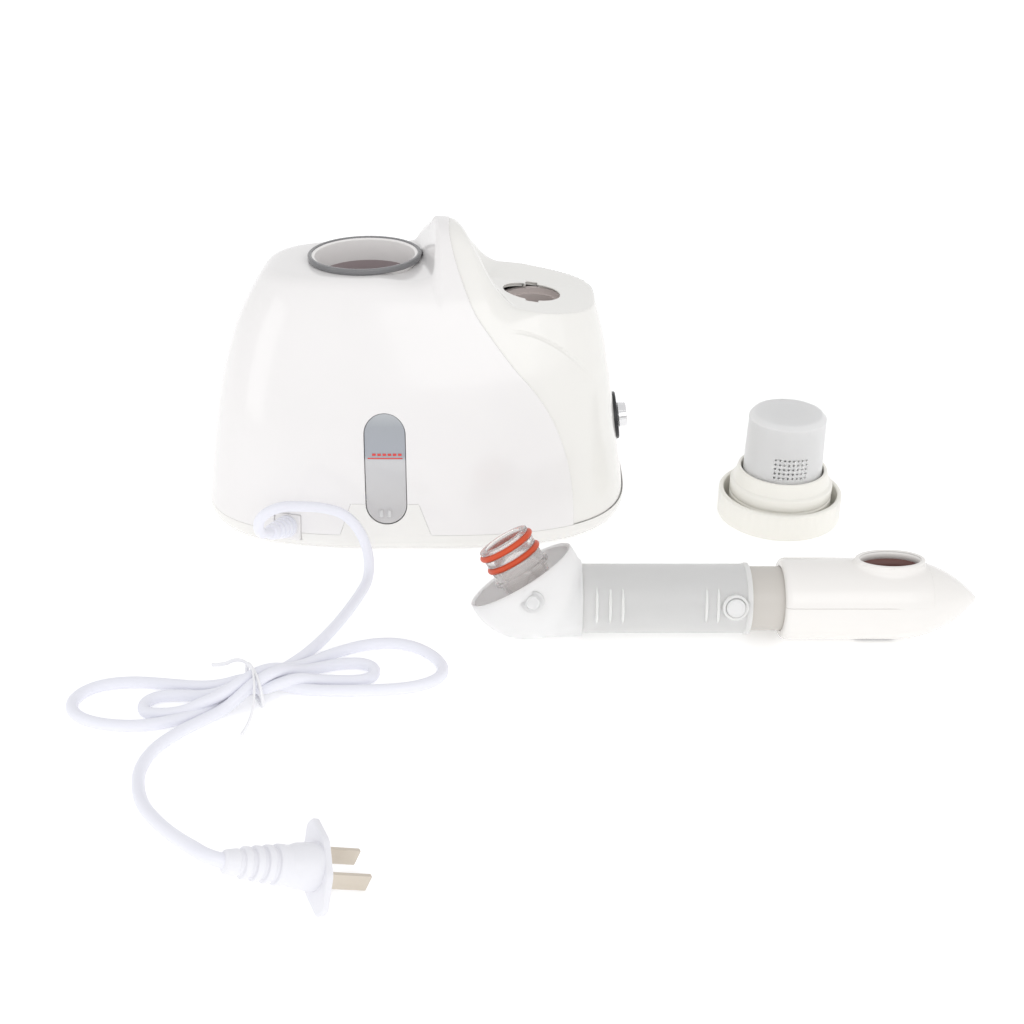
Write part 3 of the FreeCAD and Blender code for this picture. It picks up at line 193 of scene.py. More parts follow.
# Each slot or part: colour, roughness, then what differs from the usual surface.
FINISHES = {
    "shell_left": ((0.83, 0.815, 0.81), 0.16, dict(Coat_Weight=0.3)),
    "shell_right": ((0.83, 0.82, 0.79), 0.16, dict(Coat_Weight=0.3)),
    "base_plastic": ((0.83, 0.82, 0.795), 0.2, dict(Coat_Weight=0.2)),
    # tank_clear: the dark mauve is painted shade, the shadowed inside of the clear tank.
    "tank_clear": ((0.44, 0.37, 0.38), 0.3, {}),
    "seal_grey": ((0.3, 0.3, 0.3), 0.6, {}),
    "boiler_metal": ((0.7, 0.7, 0.71), 0.35, dict(Metallic=1.0)),
    "boiler_plastic": ((0.75, 0.74, 0.7), 0.5, {}),
    "heater_metal": ((0.6, 0.6, 0.6), 0.5, dict(Metallic=1.0, bump=0.15)),
    "silicone": ((0.75, 0.74, 0.72), 0.5, dict(Transmission_Weight=0.3)),
    "socket_dark": ((0.62, 0.56, 0.54), 0.4, {}),
    "thermostat_metal": ((0.6, 0.6, 0.6), 0.4, dict(Metallic=1.0)),
    "board_green": ((0.03, 0.12, 0.05), 0.35, {}),
    "relay_plastic": ((0.03, 0.03, 0.035), 0.5, {}),
    "terminal_plastic": ((0.8, 0.8, 0.78), 0.5, {}),
    "cord_white": ((0.82, 0.825, 0.89), 0.36, dict(grain=500.0, bump=0.05)),
    "wire_brown": ((0.12, 0.05, 0.02), 0.45, {}),
    "wire_blue": ((0.03, 0.08, 0.4), 0.45, {}),
    "plate_black": ((0.012, 0.012, 0.014), 0.32, dict(bump=0.08)),
    "shaft_metal": ((0.6, 0.6, 0.6), 0.35, dict(Metallic=1.0)),
    "knob_metal": ((0.82, 0.82, 0.83), 0.16, dict(Metallic=1.0)),
    "foot_rubber": ((0.35, 0.35, 0.35), 0.8, dict(bump=0.2)),
    "screw_steel": ((0.5, 0.5, 0.5), 0.35, dict(Metallic=1.0, bump=0.1)),
    "frosted_clear": ((0.92, 0.915, 0.91), 0.34, dict(grain=1400.0, bump=0.06, **FROSTED)),
    # slider_clear: the beige-brown is painted shade, the pale slide tube in shadow inside the arm
    # tube.
    "slider_clear": ((0.64, 0.61, 0.57), 0.3, dict(Transmission_Weight=0.1, IOR=1.4)),
    "neck_clear": ((0.95, 0.93, 0.92), 0.08, dict(bump=0.0, Transmission_Weight=0.8, IOR=1.3)),
    "seal_orange": ((0.62, 0.07, 0.015), 0.4, dict(bump=0.05)),
    "nozzle_white": ((0.83, 0.81, 0.785), 0.22, dict(Coat_Weight=0.2)),
    "grille_brown": ((0.16, 0.07, 0.06), 0.5, {}),
    "lid_ivory": ((0.86, 0.845, 0.79), 0.3, dict(Coat_Weight=0.1)),
    "basket_clear": ((0.97, 0.97, 0.965), 0.3, dict(grain=1400.0, bump=0.05, **FROSTED)),
    "tie_white": ((0.85, 0.85, 0.87), 0.4, {}),
    "plug_white": ((0.81, 0.81, 0.85), 0.38, dict(grain=600.0, bump=0.05)),
    "pin_nickel": ((0.66, 0.60, 0.52), 0.28, dict(Metallic=1.0, bump=0.1)),
    "level_red": ((0.75, 0.06, 0.05), 0.45, {}),
    "tube_clear": ((0.83, 0.825, 0.81), 0.3, dict(**FROSTED)),
    "throat_white": ((0.88, 0.86, 0.85), 0.25, {}),
    "rim_clear": ((0.30, 0.30, 0.31), 0.06, dict(bump=0.0, Transmission_Weight=0.45, IOR=1.5)),
    "rib_clear": ((0.88, 0.88, 0.87), 0.25, dict(Transmission_Weight=0.2, IOR=1.3)),
    "nub_white": ((0.62, 0.62, 0.62), 0.3, {}),
}
MATERIALS = {name: shader(name, colour, roughness, **others)
             for name, (colour, roughness, others) in FINISHES.items()}
MATERIALS["window_clear"] = window_shade_shader()
SLOTS = {row["node"]: row["material_slot"] for row in frame["record"]["subparts"]}


def paint_frame():
    for node, piece in frame["nodes"].items():
        piece.data.materials.clear()
        piece.data.materials.append(MATERIALS[SLOTS[node]])


def body_of(node):
    bodies = frame["record"]["behaviour"]["bodies"]
    return [name for name, members in bodies.items() if node in members][0]


def settle(piece, nodes=(), body=None, slot=None, material=None):
    """Ride the piece on its body, hide the nodes it stands for, and give it its finish."""
    nodes = [nodes] if isinstance(nodes, str) else list(nodes)
    slot = slot or SLOTS[nodes[0]]
    piece.data.materials.clear()
    piece.data.materials.append(MATERIALS[material or slot])
    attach(piece, body or body_of(nodes[0]))
    if nodes:
        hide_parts(*nodes)
    return piece


# ---------------------------------------------------------------- mesh helpers

def piece_from(name, points, faces):
    """A smooth-shaded object from points in millimetres and lists of corners."""
    mesh = bpy.data.meshes.new(name)
    mesh.from_pydata([tuple(float(part) * MM for part in point) for point in points], [], faces)
    mesh.update()
    return linked(name, mesh)


def linked(name, mesh):
    mesh.polygons.foreach_set("use_smooth", np.ones(len(mesh.polygons), bool))
    piece = bpy.data.objects.new(name, mesh)
    bpy.context.scene.collection.objects.link(piece)
    return piece


def piece_from_arrays(name, points, triangles):
    mesh = bpy.data.meshes.new(name)
    mesh.vertices.add(len(points))
    mesh.vertices.foreach_set("co", (points * MM).astype(np.float32).ravel())
    mesh.loops.add(triangles.size)
    mesh.loops.foreach_set("vertex_index", triangles.astype(np.int32).ravel())
    mesh.polygons.add(len(triangles))
    mesh.polygons.foreach_set("loop_start", np.arange(0, triangles.size, 3, dtype=np.int32))
    mesh.update(calc_edges=True)
    mesh.validate()
    return linked(name, mesh)


def tidy(mesh, merge=0.02, angle=40.0):
    """Merge doubles, make normals agree and keep edges over the angle sharp."""
    work = bmesh.new()
    work.from_mesh(mesh)
    bmesh.ops.remove_doubles(work, verts=work.verts, dist=merge * MM)
    bmesh.ops.dissolve_degenerate(work, edges=work.edges, dist=merge * 0.5 * MM)
    bmesh.ops.recalc_face_normals(work, faces=work.faces)
    work.to_mesh(mesh)
    work.free()
    mesh.polygons.foreach_set("use_smooth", np.ones(len(mesh.polygons), bool))
    mesh.set_sharp_from_angle(angle=math.radians(angle))


def bevelled(piece, width, angle=40.0, segments=3):
    bevel = piece.modifiers.new("edges", "BEVEL")
    bevel.width, bevel.segments = width * MM, segments
    bevel.limit_method, bevel.angle_limit = "ANGLE", math.radians(angle)
    bevel.harden_normals = True
    return piece


def own_mesh(node):
    """A copy of a CAD node's mesh without the normals it was given."""
    mesh = frame["nodes"][node].data.copy()
    if "custom_normal" in mesh.attributes:
        mesh.attributes.remove(mesh.attributes["custom_normal"])
    return mesh


def rounded(node, width, **choice):
    """The CAD form with its edges rounded, in place of its node."""
    mesh = own_mesh(node)
    piece = linked(node + "_form", mesh)
    tidy(mesh)
    bevelled(piece, width, segments=2)
    return settle(piece, node, **choice)


def fillet(outline, closed, steps=4):
    """Round the corners of a 2-D outline; a corner is (r, h) or (r, h, radius)."""
    count, made = len(outline), []
    for index, corner in enumerate(outline):
        here = np.array(corner[:2], float)
        radius = corner[2] if len(corner) > 2 else 0.0
        if radius <= 0 or (not closed and index in (0, count - 1)):
            made.append(here)
            continue
        before = np.array(outline[index - 1][:2], float) - here
        after = np.array(outline[(index + 1) % count][:2], float) - here
        one, two = before / np.linalg.norm(before), after / np.linalg.norm(after)
        half = math.acos(np.clip(one @ two, -1, 1)) / 2
        reach = min(radius / math.tan(half), 0.48 * np.linalg.norm(before),
                    0.48 * np.linalg.norm(after))
        radius = reach * math.tan(half)
        middle = one + two
        centre = here + middle / np.linalg.norm(middle) * (radius / math.sin(half))
        start, end = here + one * reach - centre, here + two * reach - centre
        for step in range(steps + 1):
            blend = start * (1 - step / steps) + end * (step / steps)
            made.append(centre + blend / np.linalg.norm(blend) * radius)
    return made


def lathe(name, outline, place=Matrix(), steps=96, closed=True, rounding=4):
    """Turn an outline of (radius, height) about Z and put it at place, all in millimetres."""
    ring = fillet(outline, closed, rounding)
    points, faces, rows = [], [], len(ring)
    for turn in range(steps):
        angle = 2 * math.pi * turn / steps
        for radius, height in ring:
            points.append(place @ Vector((radius * math.cos(angle), radius * math.sin(angle),
                                          height)))
    for turn in range(steps):
        here, there = turn * rows, (turn + 1) % steps * rows
        for row in range(rows if closed else rows - 1):
            following = (row + 1) % rows
            faces.append((here + row, there + row, there + following, here + following))
    piece = piece_from(name, points, faces)
    tidy(piece.data, 0.004)
    return piece


def facing(direction, base):
    """The frame whose own Z runs along direction from base."""
    turn = Z.rotation_difference(Vector(direction)).to_matrix().to_4x4()
    return Matrix.Translation(Vector(base)) @ turn


# ---------------------------------------------------------------- surfaces from a distance field

def curve_through(places, heights):
    """A smooth function through the given points, level beyond its ends."""
    places, heights = np.array(places, float), np.array(heights, float)
    slopes = np.gradient(heights, places)

    def at(where):
        where = np.clip(where, places[0], places[-1])
        index = np.clip(np.searchsorted(places, where) - 1, 0, len(places) - 2)
        span = places[index + 1] - places[index]
        part = (where - places[index]) / span
        low, high = heights[index], heights[index + 1]
        into, out = slopes[index] * span, slopes[index + 1] * span
        return (low + part * (into + part * (3 * (high - low) - 2 * into - out
                                             + part * (2 * (low - high) + into + out))))
    return at


def smooth_max(one, two, size):
    return np.maximum(one, two) + np.maximum(size - np.abs(one - two), 0) ** 2 / (4 * size)


def cast(field, centre, around, along, reach):
    """The closed surface where the field is zero, seen from a centre inside it."""
    turns = 2 * np.pi * np.arange(around) / around
    tilts = np.pi * (np.arange(1, along) / along)
    ways = np.stack([np.outer(np.sin(tilts), np.cos(turns)), np.outer(np.sin(tilts), np.sin(turns)),
                     np.outer(np.cos(tilts), np.ones(around))], axis=-1).reshape(-1, 3)
    ways = np.vstack([ways, [[0, 0, 1], [0, 0, -1]]])
    centre = np.array(centre, float)
    low, high = np.zeros(len(ways)), np.full(len(ways), float(reach))
    for _ in range(26):
        middle = (low + high) / 2
        outside = field(centre + ways * middle[:, None]) > 0
        high = np.where(outside, middle, high)
        low = np.where(outside, low, middle)
    points = centre + ways * ((low + high) / 2)[:, None]
    ids = np.arange((along - 1) * around).reshape(along - 1, around)
    following = np.roll(ids, -1, axis=1)
    upper_left, upper_right = ids[:-1].ravel(), following[:-1].ravel()
    lower_left, lower_right = ids[1:].ravel(), following[1:].ravel()
    north, south = len(points) - 2, len(points) - 1
    triangles = np.vstack([
        np.stack([upper_left, lower_left, lower_right], 1),
        np.stack([upper_left, lower_right, upper_right], 1),
        np.stack([np.full(around, north), ids[0], following[0]], 1),
        np.stack([np.full(around, south), following[-1], ids[-1]], 1)])
    return points, triangles


def split(points, triangles, values):
    """Cut the triangles along the line where the values change sign."""
    values = np.where(np.abs(values) < 1e-7, 1e-7, values)
    above = values[triangles] > 0
    mixed = above.any(1) & ~above.all(1)
    whole, work, sides = triangles[~mixed], triangles[mixed], above[mixed]
    if not len(work):
        return points, triangles
    lone = np.where(sides.sum(1) == 1, sides.argmax(1), (~sides).argmax(1))
    rows = np.arange(len(work))
    first, second, third = (work[rows, (lone + turn) % 3] for turn in range(3))
    ends = np.vstack([np.stack([first, second], 1), np.stack([first, third], 1)])
    keys, places = np.unique(np.sort(ends, axis=1), axis=0, return_inverse=True)
    places = places.ravel()
    share = values[keys[:, 0]] / (values[keys[:, 0]] - values[keys[:, 1]])
    fresh = points[keys[:, 0]] + (points[keys[:, 1]] - points[keys[:, 0]]) * share[:, None]
    near, far = len(points) + places[:len(work)], len(points) + places[len(work):]
    return np.vstack([points, fresh]), np.vstack([
        whole, np.stack([first, near, far], 1), np.stack([near, second, third], 1),
        np.stack([near, third, far], 1)])


def compact(points, triangles):
    used, triangles = np.unique(triangles, return_inverse=True)
    return points[used], triangles.reshape(-1, 3)


def trimmed(surface, edges, rounding, field, rims=None):
    """Keep the surface where every edge function is positive, and round it off at its rims."""
    points, triangles = surface
    for edge in edges:
        points, triangles = split(points, triangles, edge(points))
        middle = points[triangles].mean(1)
        points, triangles = compact(points, triangles[edge(middle) > 0])
    return softened((points, triangles), edges if rims is None else rims, rounding, field)


def softened(surface, rims, rounding, field):
    """Let the surface curl inwards next to where any rim function reaches zero."""
    points, triangles = surface
    for edge in rims:
        for level in (0.12, 0.35, 0.7, 1.0):
            points, triangles = split(points, triangles, edge(points) - level * rounding)
    distance = np.full(len(points), 1e3)
    for edge in rims:
        distance = np.minimum(distance, np.maximum(edge(points), 0))
    inside = np.clip(rounding - distance, 0, rounding)
    drop = rounding - np.sqrt(np.maximum(rounding ** 2 - inside ** 2, 0))
    return points - normals_of(field, points) * drop[:, None], triangles


def normals_of(field, points, step=0.15):
    gradient = np.stack([field(points + offset) - field(points - offset)
                         for offset in np.eye(3) * step], 1)
    return gradient / np.maximum(np.linalg.norm(gradient, axis=1), 1e-9)[:, None]


def shell_piece(name, surface, thickness):
    points, triangles = compact(*surface)
    piece = piece_from_arrays(name, points, triangles)
    wall = piece.modifiers.new("wall", "SOLIDIFY")
    wall.thickness, wall.offset = thickness * MM, -1.0
    return piece


# ---------------------------------------------------------------- housing

DOME = np.array([
    (9.3, 108.4, 110.2, 72.6), (20.0, 106.6, 108.9, 71.2), (34.0, 104.4, 106.9, 68.8),
    (48.0, 102.0, 105.0, 66.0), (72.0, 96.5, 101.6, 59.6), (91.0, 90.5, 98.2, 53.0),
    (103.0, 85.6, 95.0, 48.2), (113.0, 80.2, 91.0, 43.6), (121.0, 75.0, 86.0, 39.2),
    (128.0, 69.5, 80.0, 34.6), (136.0, 61.0, 70.0, 28.4), (143.0, 51.0, 58.0, 21.4),
    (148.0, 41.0, 46.0, 14.6), (151.0, 33.0, 37.0, 9.0)])
EDGE = np.array([(0.0, 5.6), (0.7, 3.6), (2.2, 1.9), (4.6, 0.6), (7.0, 0.1), (9.3, 0.0)])
LEFT = curve_through(DOME[:, 0], DOME[:, 1])
RIGHT = curve_through(DOME[:, 0], DOME[:, 2])
DEPTH = curve_through(DOME[:, 0], DOME[:, 3])
BACK = curve_through([9.3, 20.0, 34.0, 48.0, 72.0, 91.0, 103.0, 113.0, 121.0, 128.0, 136.0, 140.0,
                      143.0, 146.0, 149.0],
                     [72.6, 71.2, 68.8, 66.0, 59.6, 53.0, 48.0, 43.4, 39.0, 34.2, 26.0, 18.5,
                      11.5, 6.0, 3.0])
FOOT = curve_through(EDGE[:, 0], EDGE[:, 1])
POWER, SEAM_Z, SKEW = 3.05, 9.5, 0.2
RISE = curve_through([-150.0, -20.0, 4.8, 7.2, 9.6, 12.0, 13.0, 16.0, 150.0],
                     [127.3, 127.3, 127.3, 128.4, 137.0, 147.6, 148.4, 148.5, 148.5])
FALL = curve_through([-150.0, 18.0, 23.6, 25.2, 28.0, 31.0, 34.0, 37.0, 40.0, 42.5, 44.0, 150.0],
                     [148.4, 148.4, 147.5, 146.4, 140.6, 132.2, 125.0, 120.0, 116.6, 115.0, 114.7,
                      105.7])
SEAM = curve_through(
    [-5.0, 21.0, 36.0, 51.0, 65.0, 77.0, 89.0, 101.0, 113.0, 125.5, 138.0, 148.0, 160.0],
    [81.8, 81.6, 79.8, 76.0, 70.2, 62.6, 52.2, 42.8, 34.0, 28.0, 23.2, 20.4, 18.6])
SOFTNESS = curve_through([-150.0, -5.0, 6.0, 16.0, 27.0, 36.0, 42.0, 48.0, 150.0],
                         [5.0, 5.0, 5.0, 5.0, 9.0, 10.0, 6.0, 3.0, 3.0])


def reach_at(points, lift):
    across, along, height = points[:, 0], points[:, 1], points[:, 2] + lift
    foot = np.where(height < SEAM_Z - 0.2, FOOT(height), 0.0)
    beyond = np.maximum(height - 151.0, 0.0) * 4.0
    wide = np.where(across > 0, RIGHT(height), LEFT(height)) - foot - beyond
    deep = np.where(along > 0, BACK(height), DEPTH(height)) - foot - beyond
    share = ((np.abs(across) / np.maximum(wide, 1.0)) ** POWER
             + (np.abs(along) / np.maximum(deep, 0.5)) ** POWER) ** (1 / POWER)
    return np.hypot(across, along) / np.maximum(share, 1e-6)


def top_height(points):
    """The top's height: plateau and fin from the left, the fin's fall and facet from the right."""
    x, y = points[:, 0], points[:, 1]
    rise_at = x + SKEW * y
    fall_at = x + np.where(y < 12.0, 0.3 * y, 3.6 - 0.2 * (y - 12.0))
    steeper = np.minimum(fall_at, np.maximum(rise_at, fall_at - 4))
    fall_at = np.where(fall_at < 26.0, steeper, fall_at)
    spread = (-1.0, 0.0, 1.0)
    rise = sum(RISE(rise_at + shift) for shift in spread) / 3
    fall = sum(FALL(fall_at + shift) for shift in spread) / 3
    return np.minimum(rise, fall), fall_at


def housing_field(inset):
    def field(points):
        radial = np.hypot(points[:, 0], points[:, 1])
        reach = reach_at(points, 0.0)
        slope = reach_at(points, 0.5) - reach_at(points, -0.5)
        side = (radial - reach) / np.sqrt(1 + slope ** 2)
        height, across = top_height(points)
        tilt = top_height(points + np.array([0.5, 0, 0]))[0] - height
        top = (points[:, 2] - height) / np.sqrt(1 + (2 * tilt) ** 2)
        joined = smooth_max(side, top, SOFTNESS(across)) + inset
        return np.maximum(joined, -points[:, 2])
    return field


def seam_edge(side, gap=SEAM_GAP):
    def edge(points):
        slope = SEAM(points[:, 2] + 0.5) - SEAM(points[:, 2] - 0.5)
        return side * (SEAM(points[:, 2]) - points[:, 0]) / np.sqrt(1 + slope ** 2) - gap
    return edge


def window_edge(points):
    across = np.abs(points[:, 0] + 10.4)
    along = np.maximum(np.abs(points[:, 2] - 42.6) - 17.1, 0)
    return np.where(points[:, 1] < 0, np.hypot(across, along) - 10.1, ELSEWHERE)


def tab_distance(points):
    """How far inside the base's raised tab a point of the front lies."""
    height, across = points[:, 2], points[:, 0] + 11.25
    slant = 6.2 / 17.5
    side = (16.75 + (25.8 - height) * slant - np.abs(across)) / math.hypot(1, slant)
    inside = np.minimum(side, 25.8 - height)
    return np.where(points[:, 1] < 0, inside, -60.0)


def filler_edge(points):
    """Clear of the tank's neck through the plateau, and of its wider rim above that."""
    gap = np.hypot(points[:, 0] - FILLER[0], points[:, 1] - FILLER[1])
    gap = gap - np.where(points[:, 2] > 127.5, 28.5, 26.9)
    return np.where(points[:, 2] > 100, gap, ELSEWHERE)


def socket_edge(points):
    across, along = np.abs(points[:, 0] - SOCKET[0]), np.abs(points[:, 1] - SOCKET[1])
    gap = np.minimum(np.hypot(across, along) - 14.2, np.maximum(across - 3.0, along - 16.8))
    return np.where(points[:, 2] > 80, gap, ELSEWHERE)


KNOB_AXIS = Vector((math.cos(math.radians(7)), 0, math.sin(math.radians(7))))
KNOB_PLACE = facing(KNOB_AXIS, (104.4, -6.0, 44.6))
GLAND_AXIS = Vector((-0.253, -0.907, 0.33)).normalized()
GLAND_PLACE = facing(GLAND_AXIS, (-60.0, -67.4, 12.2))


def local(points, place):
    inverse = np.array(place.inverted())
    return points @ inverse[:3, :3].T + inverse[:3, 3]


def knob_edge(points):
    near = local(points, KNOB_PLACE)
    return np.where(points[:, 0] > 80, np.hypot(near[:, 0], near[:, 1]) - 12.5, ELSEWHERE)


def gland_edge(points):
    near = local(points, GLAND_PLACE)
    level = np.array(GLAND_PLACE.to_3x3().inverted() @ Z)
    up = level[:2] / np.linalg.norm(level[:2])
    high = near[:, 0] * up[0] + near[:, 1] * up[1]
    wide = near[:, 0] * up[1] - near[:, 1] * up[0]
    gap = np.maximum(np.abs(wide) - 7.15, np.abs(high) - 6.65)
    return np.where(np.abs(near[:, 2]) < 14, gap, ELSEWHERE)


CREASE = curve_through([48.0, 55.0, 62.0, 70.7, 78.0, 83.6, 88.3, 92.0],
                       [105.2, 104.6, 102.6, 98.0, 92.5, 86.7, 80.8, 75.5])


def engrave_crease(surface, field):
    """A shallow curved groove in the front of the right shell, fading out at both ends."""
    points, triangles = surface

    def away(places):
        slope = CREASE(places[:, 0] + 0.5) - CREASE(places[:, 0] - 0.5)
        gap = (places[:, 2] - CREASE(places[:, 0])) / np.sqrt(1 + slope ** 2)
        near = (places[:, 1] < 0) & (places[:, 0] > 49) & (places[:, 0] < 91)
        return np.where(near, gap, ELSEWHERE)

    for level in (-0.9, -0.45, 0.0, 0.45, 0.9):
        points, triangles = split(points, triangles, away(points) - level)
    fade = np.clip((points[:, 0] - 50) / 8, 0, 1) * np.clip((90 - points[:, 0]) / 12, 0, 1)
    depth = 0.55 * fade * np.clip(1 - (away(points) / 0.9) ** 2, 0, 1)
    return points - normals_of(field, points) * depth[:, None], triangles


def make_housing():
    detail = ((620, 330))
    outer = housing_field(0.0)
    lower = housing_field(0.8)
    inside = ((8.0, 0.0, 58.0), *detail, 230.0)
    surface = cast(outer, *inside)
    low_surface = cast(lower, *inside)

    def above(points):
        return points[:, 2] - SEAM_Z - SEAM_GAP

    def outside_tab(points):
        return -tab_distance(points) - SEAM_GAP

    def base(points):
        return np.maximum(SEAM_Z - SEAM_GAP - points[:, 2], tab_distance(points) - SEAM_GAP)

    left = trimmed(surface, [seam_edge(1), above, outside_tab, window_edge, filler_edge,
                             gland_edge], 0.5, outer, [seam_edge(1), window_edge, filler_edge])
    left = softened(left, [above, outside_tab], 0.22, outer)
    settle(shell_piece("left_shell_skin", left, SHELL_WALL), "left_shell")
    right = trimmed(low_surface, [seam_edge(-1, -1.4), above, socket_edge, knob_edge], 0.6,
                    lower, [socket_edge, knob_edge])
    right = softened(engrave_crease(right, lower), [above], 0.22, lower)
    settle(shell_piece("right_shell_skin", right, SHELL_WALL), "right_shell")
    tray = trimmed(surface, [base, window_edge, gland_edge], 0.5, outer, [window_edge])
    tray = softened(tray, [base], 0.22, outer)
    settle(shell_piece("base_tray_skin", tray, SHELL_WALL), "base_tray")

    def in_window(points):
        return -window_edge(points) - 0.2

    inset = housing_field(0.5)
    lens = cast(inset, *inside)
    lens = trimmed(lens, [in_window], 0.4, inset)
    settle(shell_piece("level_window_lens", lens, 1.6), "level_window")


# ---------------------------------------------------------------- tank, window and knob

def cut_below(node, name, height):
    """A copy of a CAD node without its part above a height."""
    mesh = own_mesh(node)
    work = bmesh.new()
    work.from_mesh(mesh)
    bmesh.ops.remove_doubles(work, verts=work.verts, dist=0.01 * MM)
    bmesh.ops.bisect_plane(work, geom=work.verts[:] + work.edges[:] + work.faces[:],
                           plane_co=Z * height * MM, plane_no=Z,
                           clear_inner=False, clear_outer=True)
    work.to_mesh(mesh)
    work.free()
    piece = linked(name, mesh)
    mesh.set_sharp_from_angle(angle=math.radians(35))
    return piece


def make_tank():
    centre = Matrix.Translation((*FILLER, 0))
    # The tank below its throat, painted dark mauve as the shade of its inside; the throat above
    # keeps a pale colour.
    settle(cut_below("water_tank", "tank_body_shaded", 119.0), "water_tank")
    throat = lathe("tank_throat", [(24.5, 118.4), (26.7, 118.4), (26.7, 127.2, 0.4),
                                   (27.2, 127.6, 0.3), (27.2, 129.6, 0.4), (26.2, 129.6, 0.3),
                                   (24.9, 129.2, 0.5)],
                   centre, 128)
    settle(throat, body="housing", slot="tank_clear", material="throat_white")
    rim = lathe("tank_rim", [(27.2, 127.4, 0.3), (28.4, 127.4, 0.5), (28.4, 130.2, 0.8),
                             (26.3, 130.2, 0.8), (26.3, 129.4, 0.3), (27.2, 129.4, 0.2)],
                centre, 128)
    settle(rim, body="housing", slot="tank_clear", material="rim_clear")


def on_front(field, x, z):
    """The point of the housing's front at this x and z."""
    low, high = -90.0, 0.0
    for _ in range(40):
        middle = (low + high) / 2
        inside = field(np.array([[x, middle, z]]))[0] < 0
        low, high = (low, middle) if inside else (middle, high)
    return Vector((x, low, z))


def front_strip(name, spans, z, height, stand):
    """A printed line on the water window: flat bars of the given x spans at a height."""
    field, points, faces = housing_field(0.5 - stand), [], []
    for left, right in spans:
        first = len(points)
        for step in range(7):
            x = left + (right - left) * step / 6
            points += [on_front(field, x, z - height / 2), on_front(field, x, z + height / 2)]
        faces += [(first + 2 * step, first + 2 * step + 2, first + 2 * step + 3,
                   first + 2 * step + 1) for step in range(6)]
    piece = piece_from(name, points, faces)
    wall = piece.modifiers.new("wall", "SOLIDIFY")
    wall.thickness, wall.offset = 0.12 * MM, 0.0
    return piece


def make_window_marks():
    line = front_strip("level_line", [(-18.8, -2.0)], 48.4, 0.5, 0.1)
    settle(line, body="housing", slot="window_clear", material="level_red")
    ticks = [(-16.6 + 2.5 * index, -14.9 + 2.5 * index) for index in range(6)]
    marks = front_strip("level_ticks", ticks, 50.2, 1.1, 0.1)
    settle(marks, body="housing", slot="window_clear", material="level_red")
    field = housing_field(0.5)
    for index, x in enumerate((-13.0, -9.0)):
        foot = on_front(field, x, 20.6)
        nub = lathe("window_nub_%d" % index, [(0.0, 0.0), (1.1, 0.0), (0.9, 3.6, 0.5), (0, 3.8)],
                    Matrix.Translation(foot + Vector((0, 0.2, -1.4))), 24, closed=False)
        settle(nub, body="housing", slot="window_clear", material="nub_white")


def fluted(name, outline, place, count, depth, low, high, steps_each=8):
    """A turned piece whose outer wall between two heights is scalloped into flutes."""
    piece = lathe(name, outline, Matrix(), count * steps_each)
    reach = max(corner[0] for corner in outline)
    for vertex in piece.data.vertices:
        at = vertex.co / MM
        radius = math.hypot(at.x, at.y)
        fade = min(max((at.z - low) / 1.2, 0), 1) * min(max((high - at.z) / 1.2, 0), 1)
        if radius > reach - 1.6 and fade > 0:
            turn = math.atan2(at.y, at.x) * count
            pull = depth * fade * (0.5 - 0.5 * math.cos(turn)) ** 0.6
            at.x, at.y = at.x * (1 - pull / radius), at.y * (1 - pull / radius)
        vertex.co = (place @ at) * MM
    piece.data.update()
    return piece


def make_knob():
    plate = lathe("knob_plate_disc", [
        (3.1, -3.2), (12.4, -3.2), (12.4, 1.6, 0.9), (10.6, 1.6, 0.3), (10.2, 1.1, 0.3),
        (3.1, 1.1)], KNOB_PLACE)
    settle(plate, "knob_plate")
    knob = fluted("control_knob_cap", [
        (0.1, 2.0), (6.5, 2.0, 0.4), (6.1, 6.5, 0.9), (4.9, 6.5, 0.4), (4.5, 6.15, 0.3),
        (0.1, 6.15)], KNOB_PLACE, 24, 0.5, 2.2, 6.2)
    settle(knob, "control_knob")
    pointer = [(-0.5, 4.9), (0.5, 4.9), (0.5, 1.4), (-0.5, 1.4)]
    points = [KNOB_PLACE @ Vector((x, y, height)) for height in (6.1, 6.4) for x, y in pointer]
    mark = piece_from("knob_pointer", points, [(3, 2, 1, 0), (4, 5, 6, 7), (0, 1, 5, 4),
                                               (1, 2, 6, 5), (2, 3, 7, 6), (3, 0, 4, 7)])
    settle(bevelled(mark, 0.12), body="knob", slot="knob_metal", material="relay_plastic")


# ---------------------------------------------------------------- loose arm

ARM = Matrix.Translation(TUBE_LINE) @ Matrix.Rotation(math.radians(-17), 4, "X")
ALONG = Matrix.Rotation(math.radians(90), 4, "Y")
LEAN = math.radians(31)
NECK_WAY = Vector((-math.sin(LEAN), 0, math.cos(LEAN)))
BALL = Vector((56.4, 0, 8.05))
PIVOT = Vector((59.8, 0, 4.95))


def arm_side(x, y, z):
    return ARM @ Vector((x, y, z))


def smooth_min(one, two, size):
    return -smooth_max(-one, -two, size)


def elbow_field(inset):
    """A ball that meets the sleeve of the tube."""
    def field(points):
        near = local(points, ARM)
        from_ball = near - np.array(BALL)
        ball = np.linalg.norm(from_ball, axis=1) - 25.7
        sleeve = np.maximum(np.hypot(near[:, 1], near[:, 2]) - 16.8,
                            np.maximum(58.0 - near[:, 0], near[:, 0] - 82.0))
        return smooth_min(ball, sleeve, 2.5) + inset
    return field


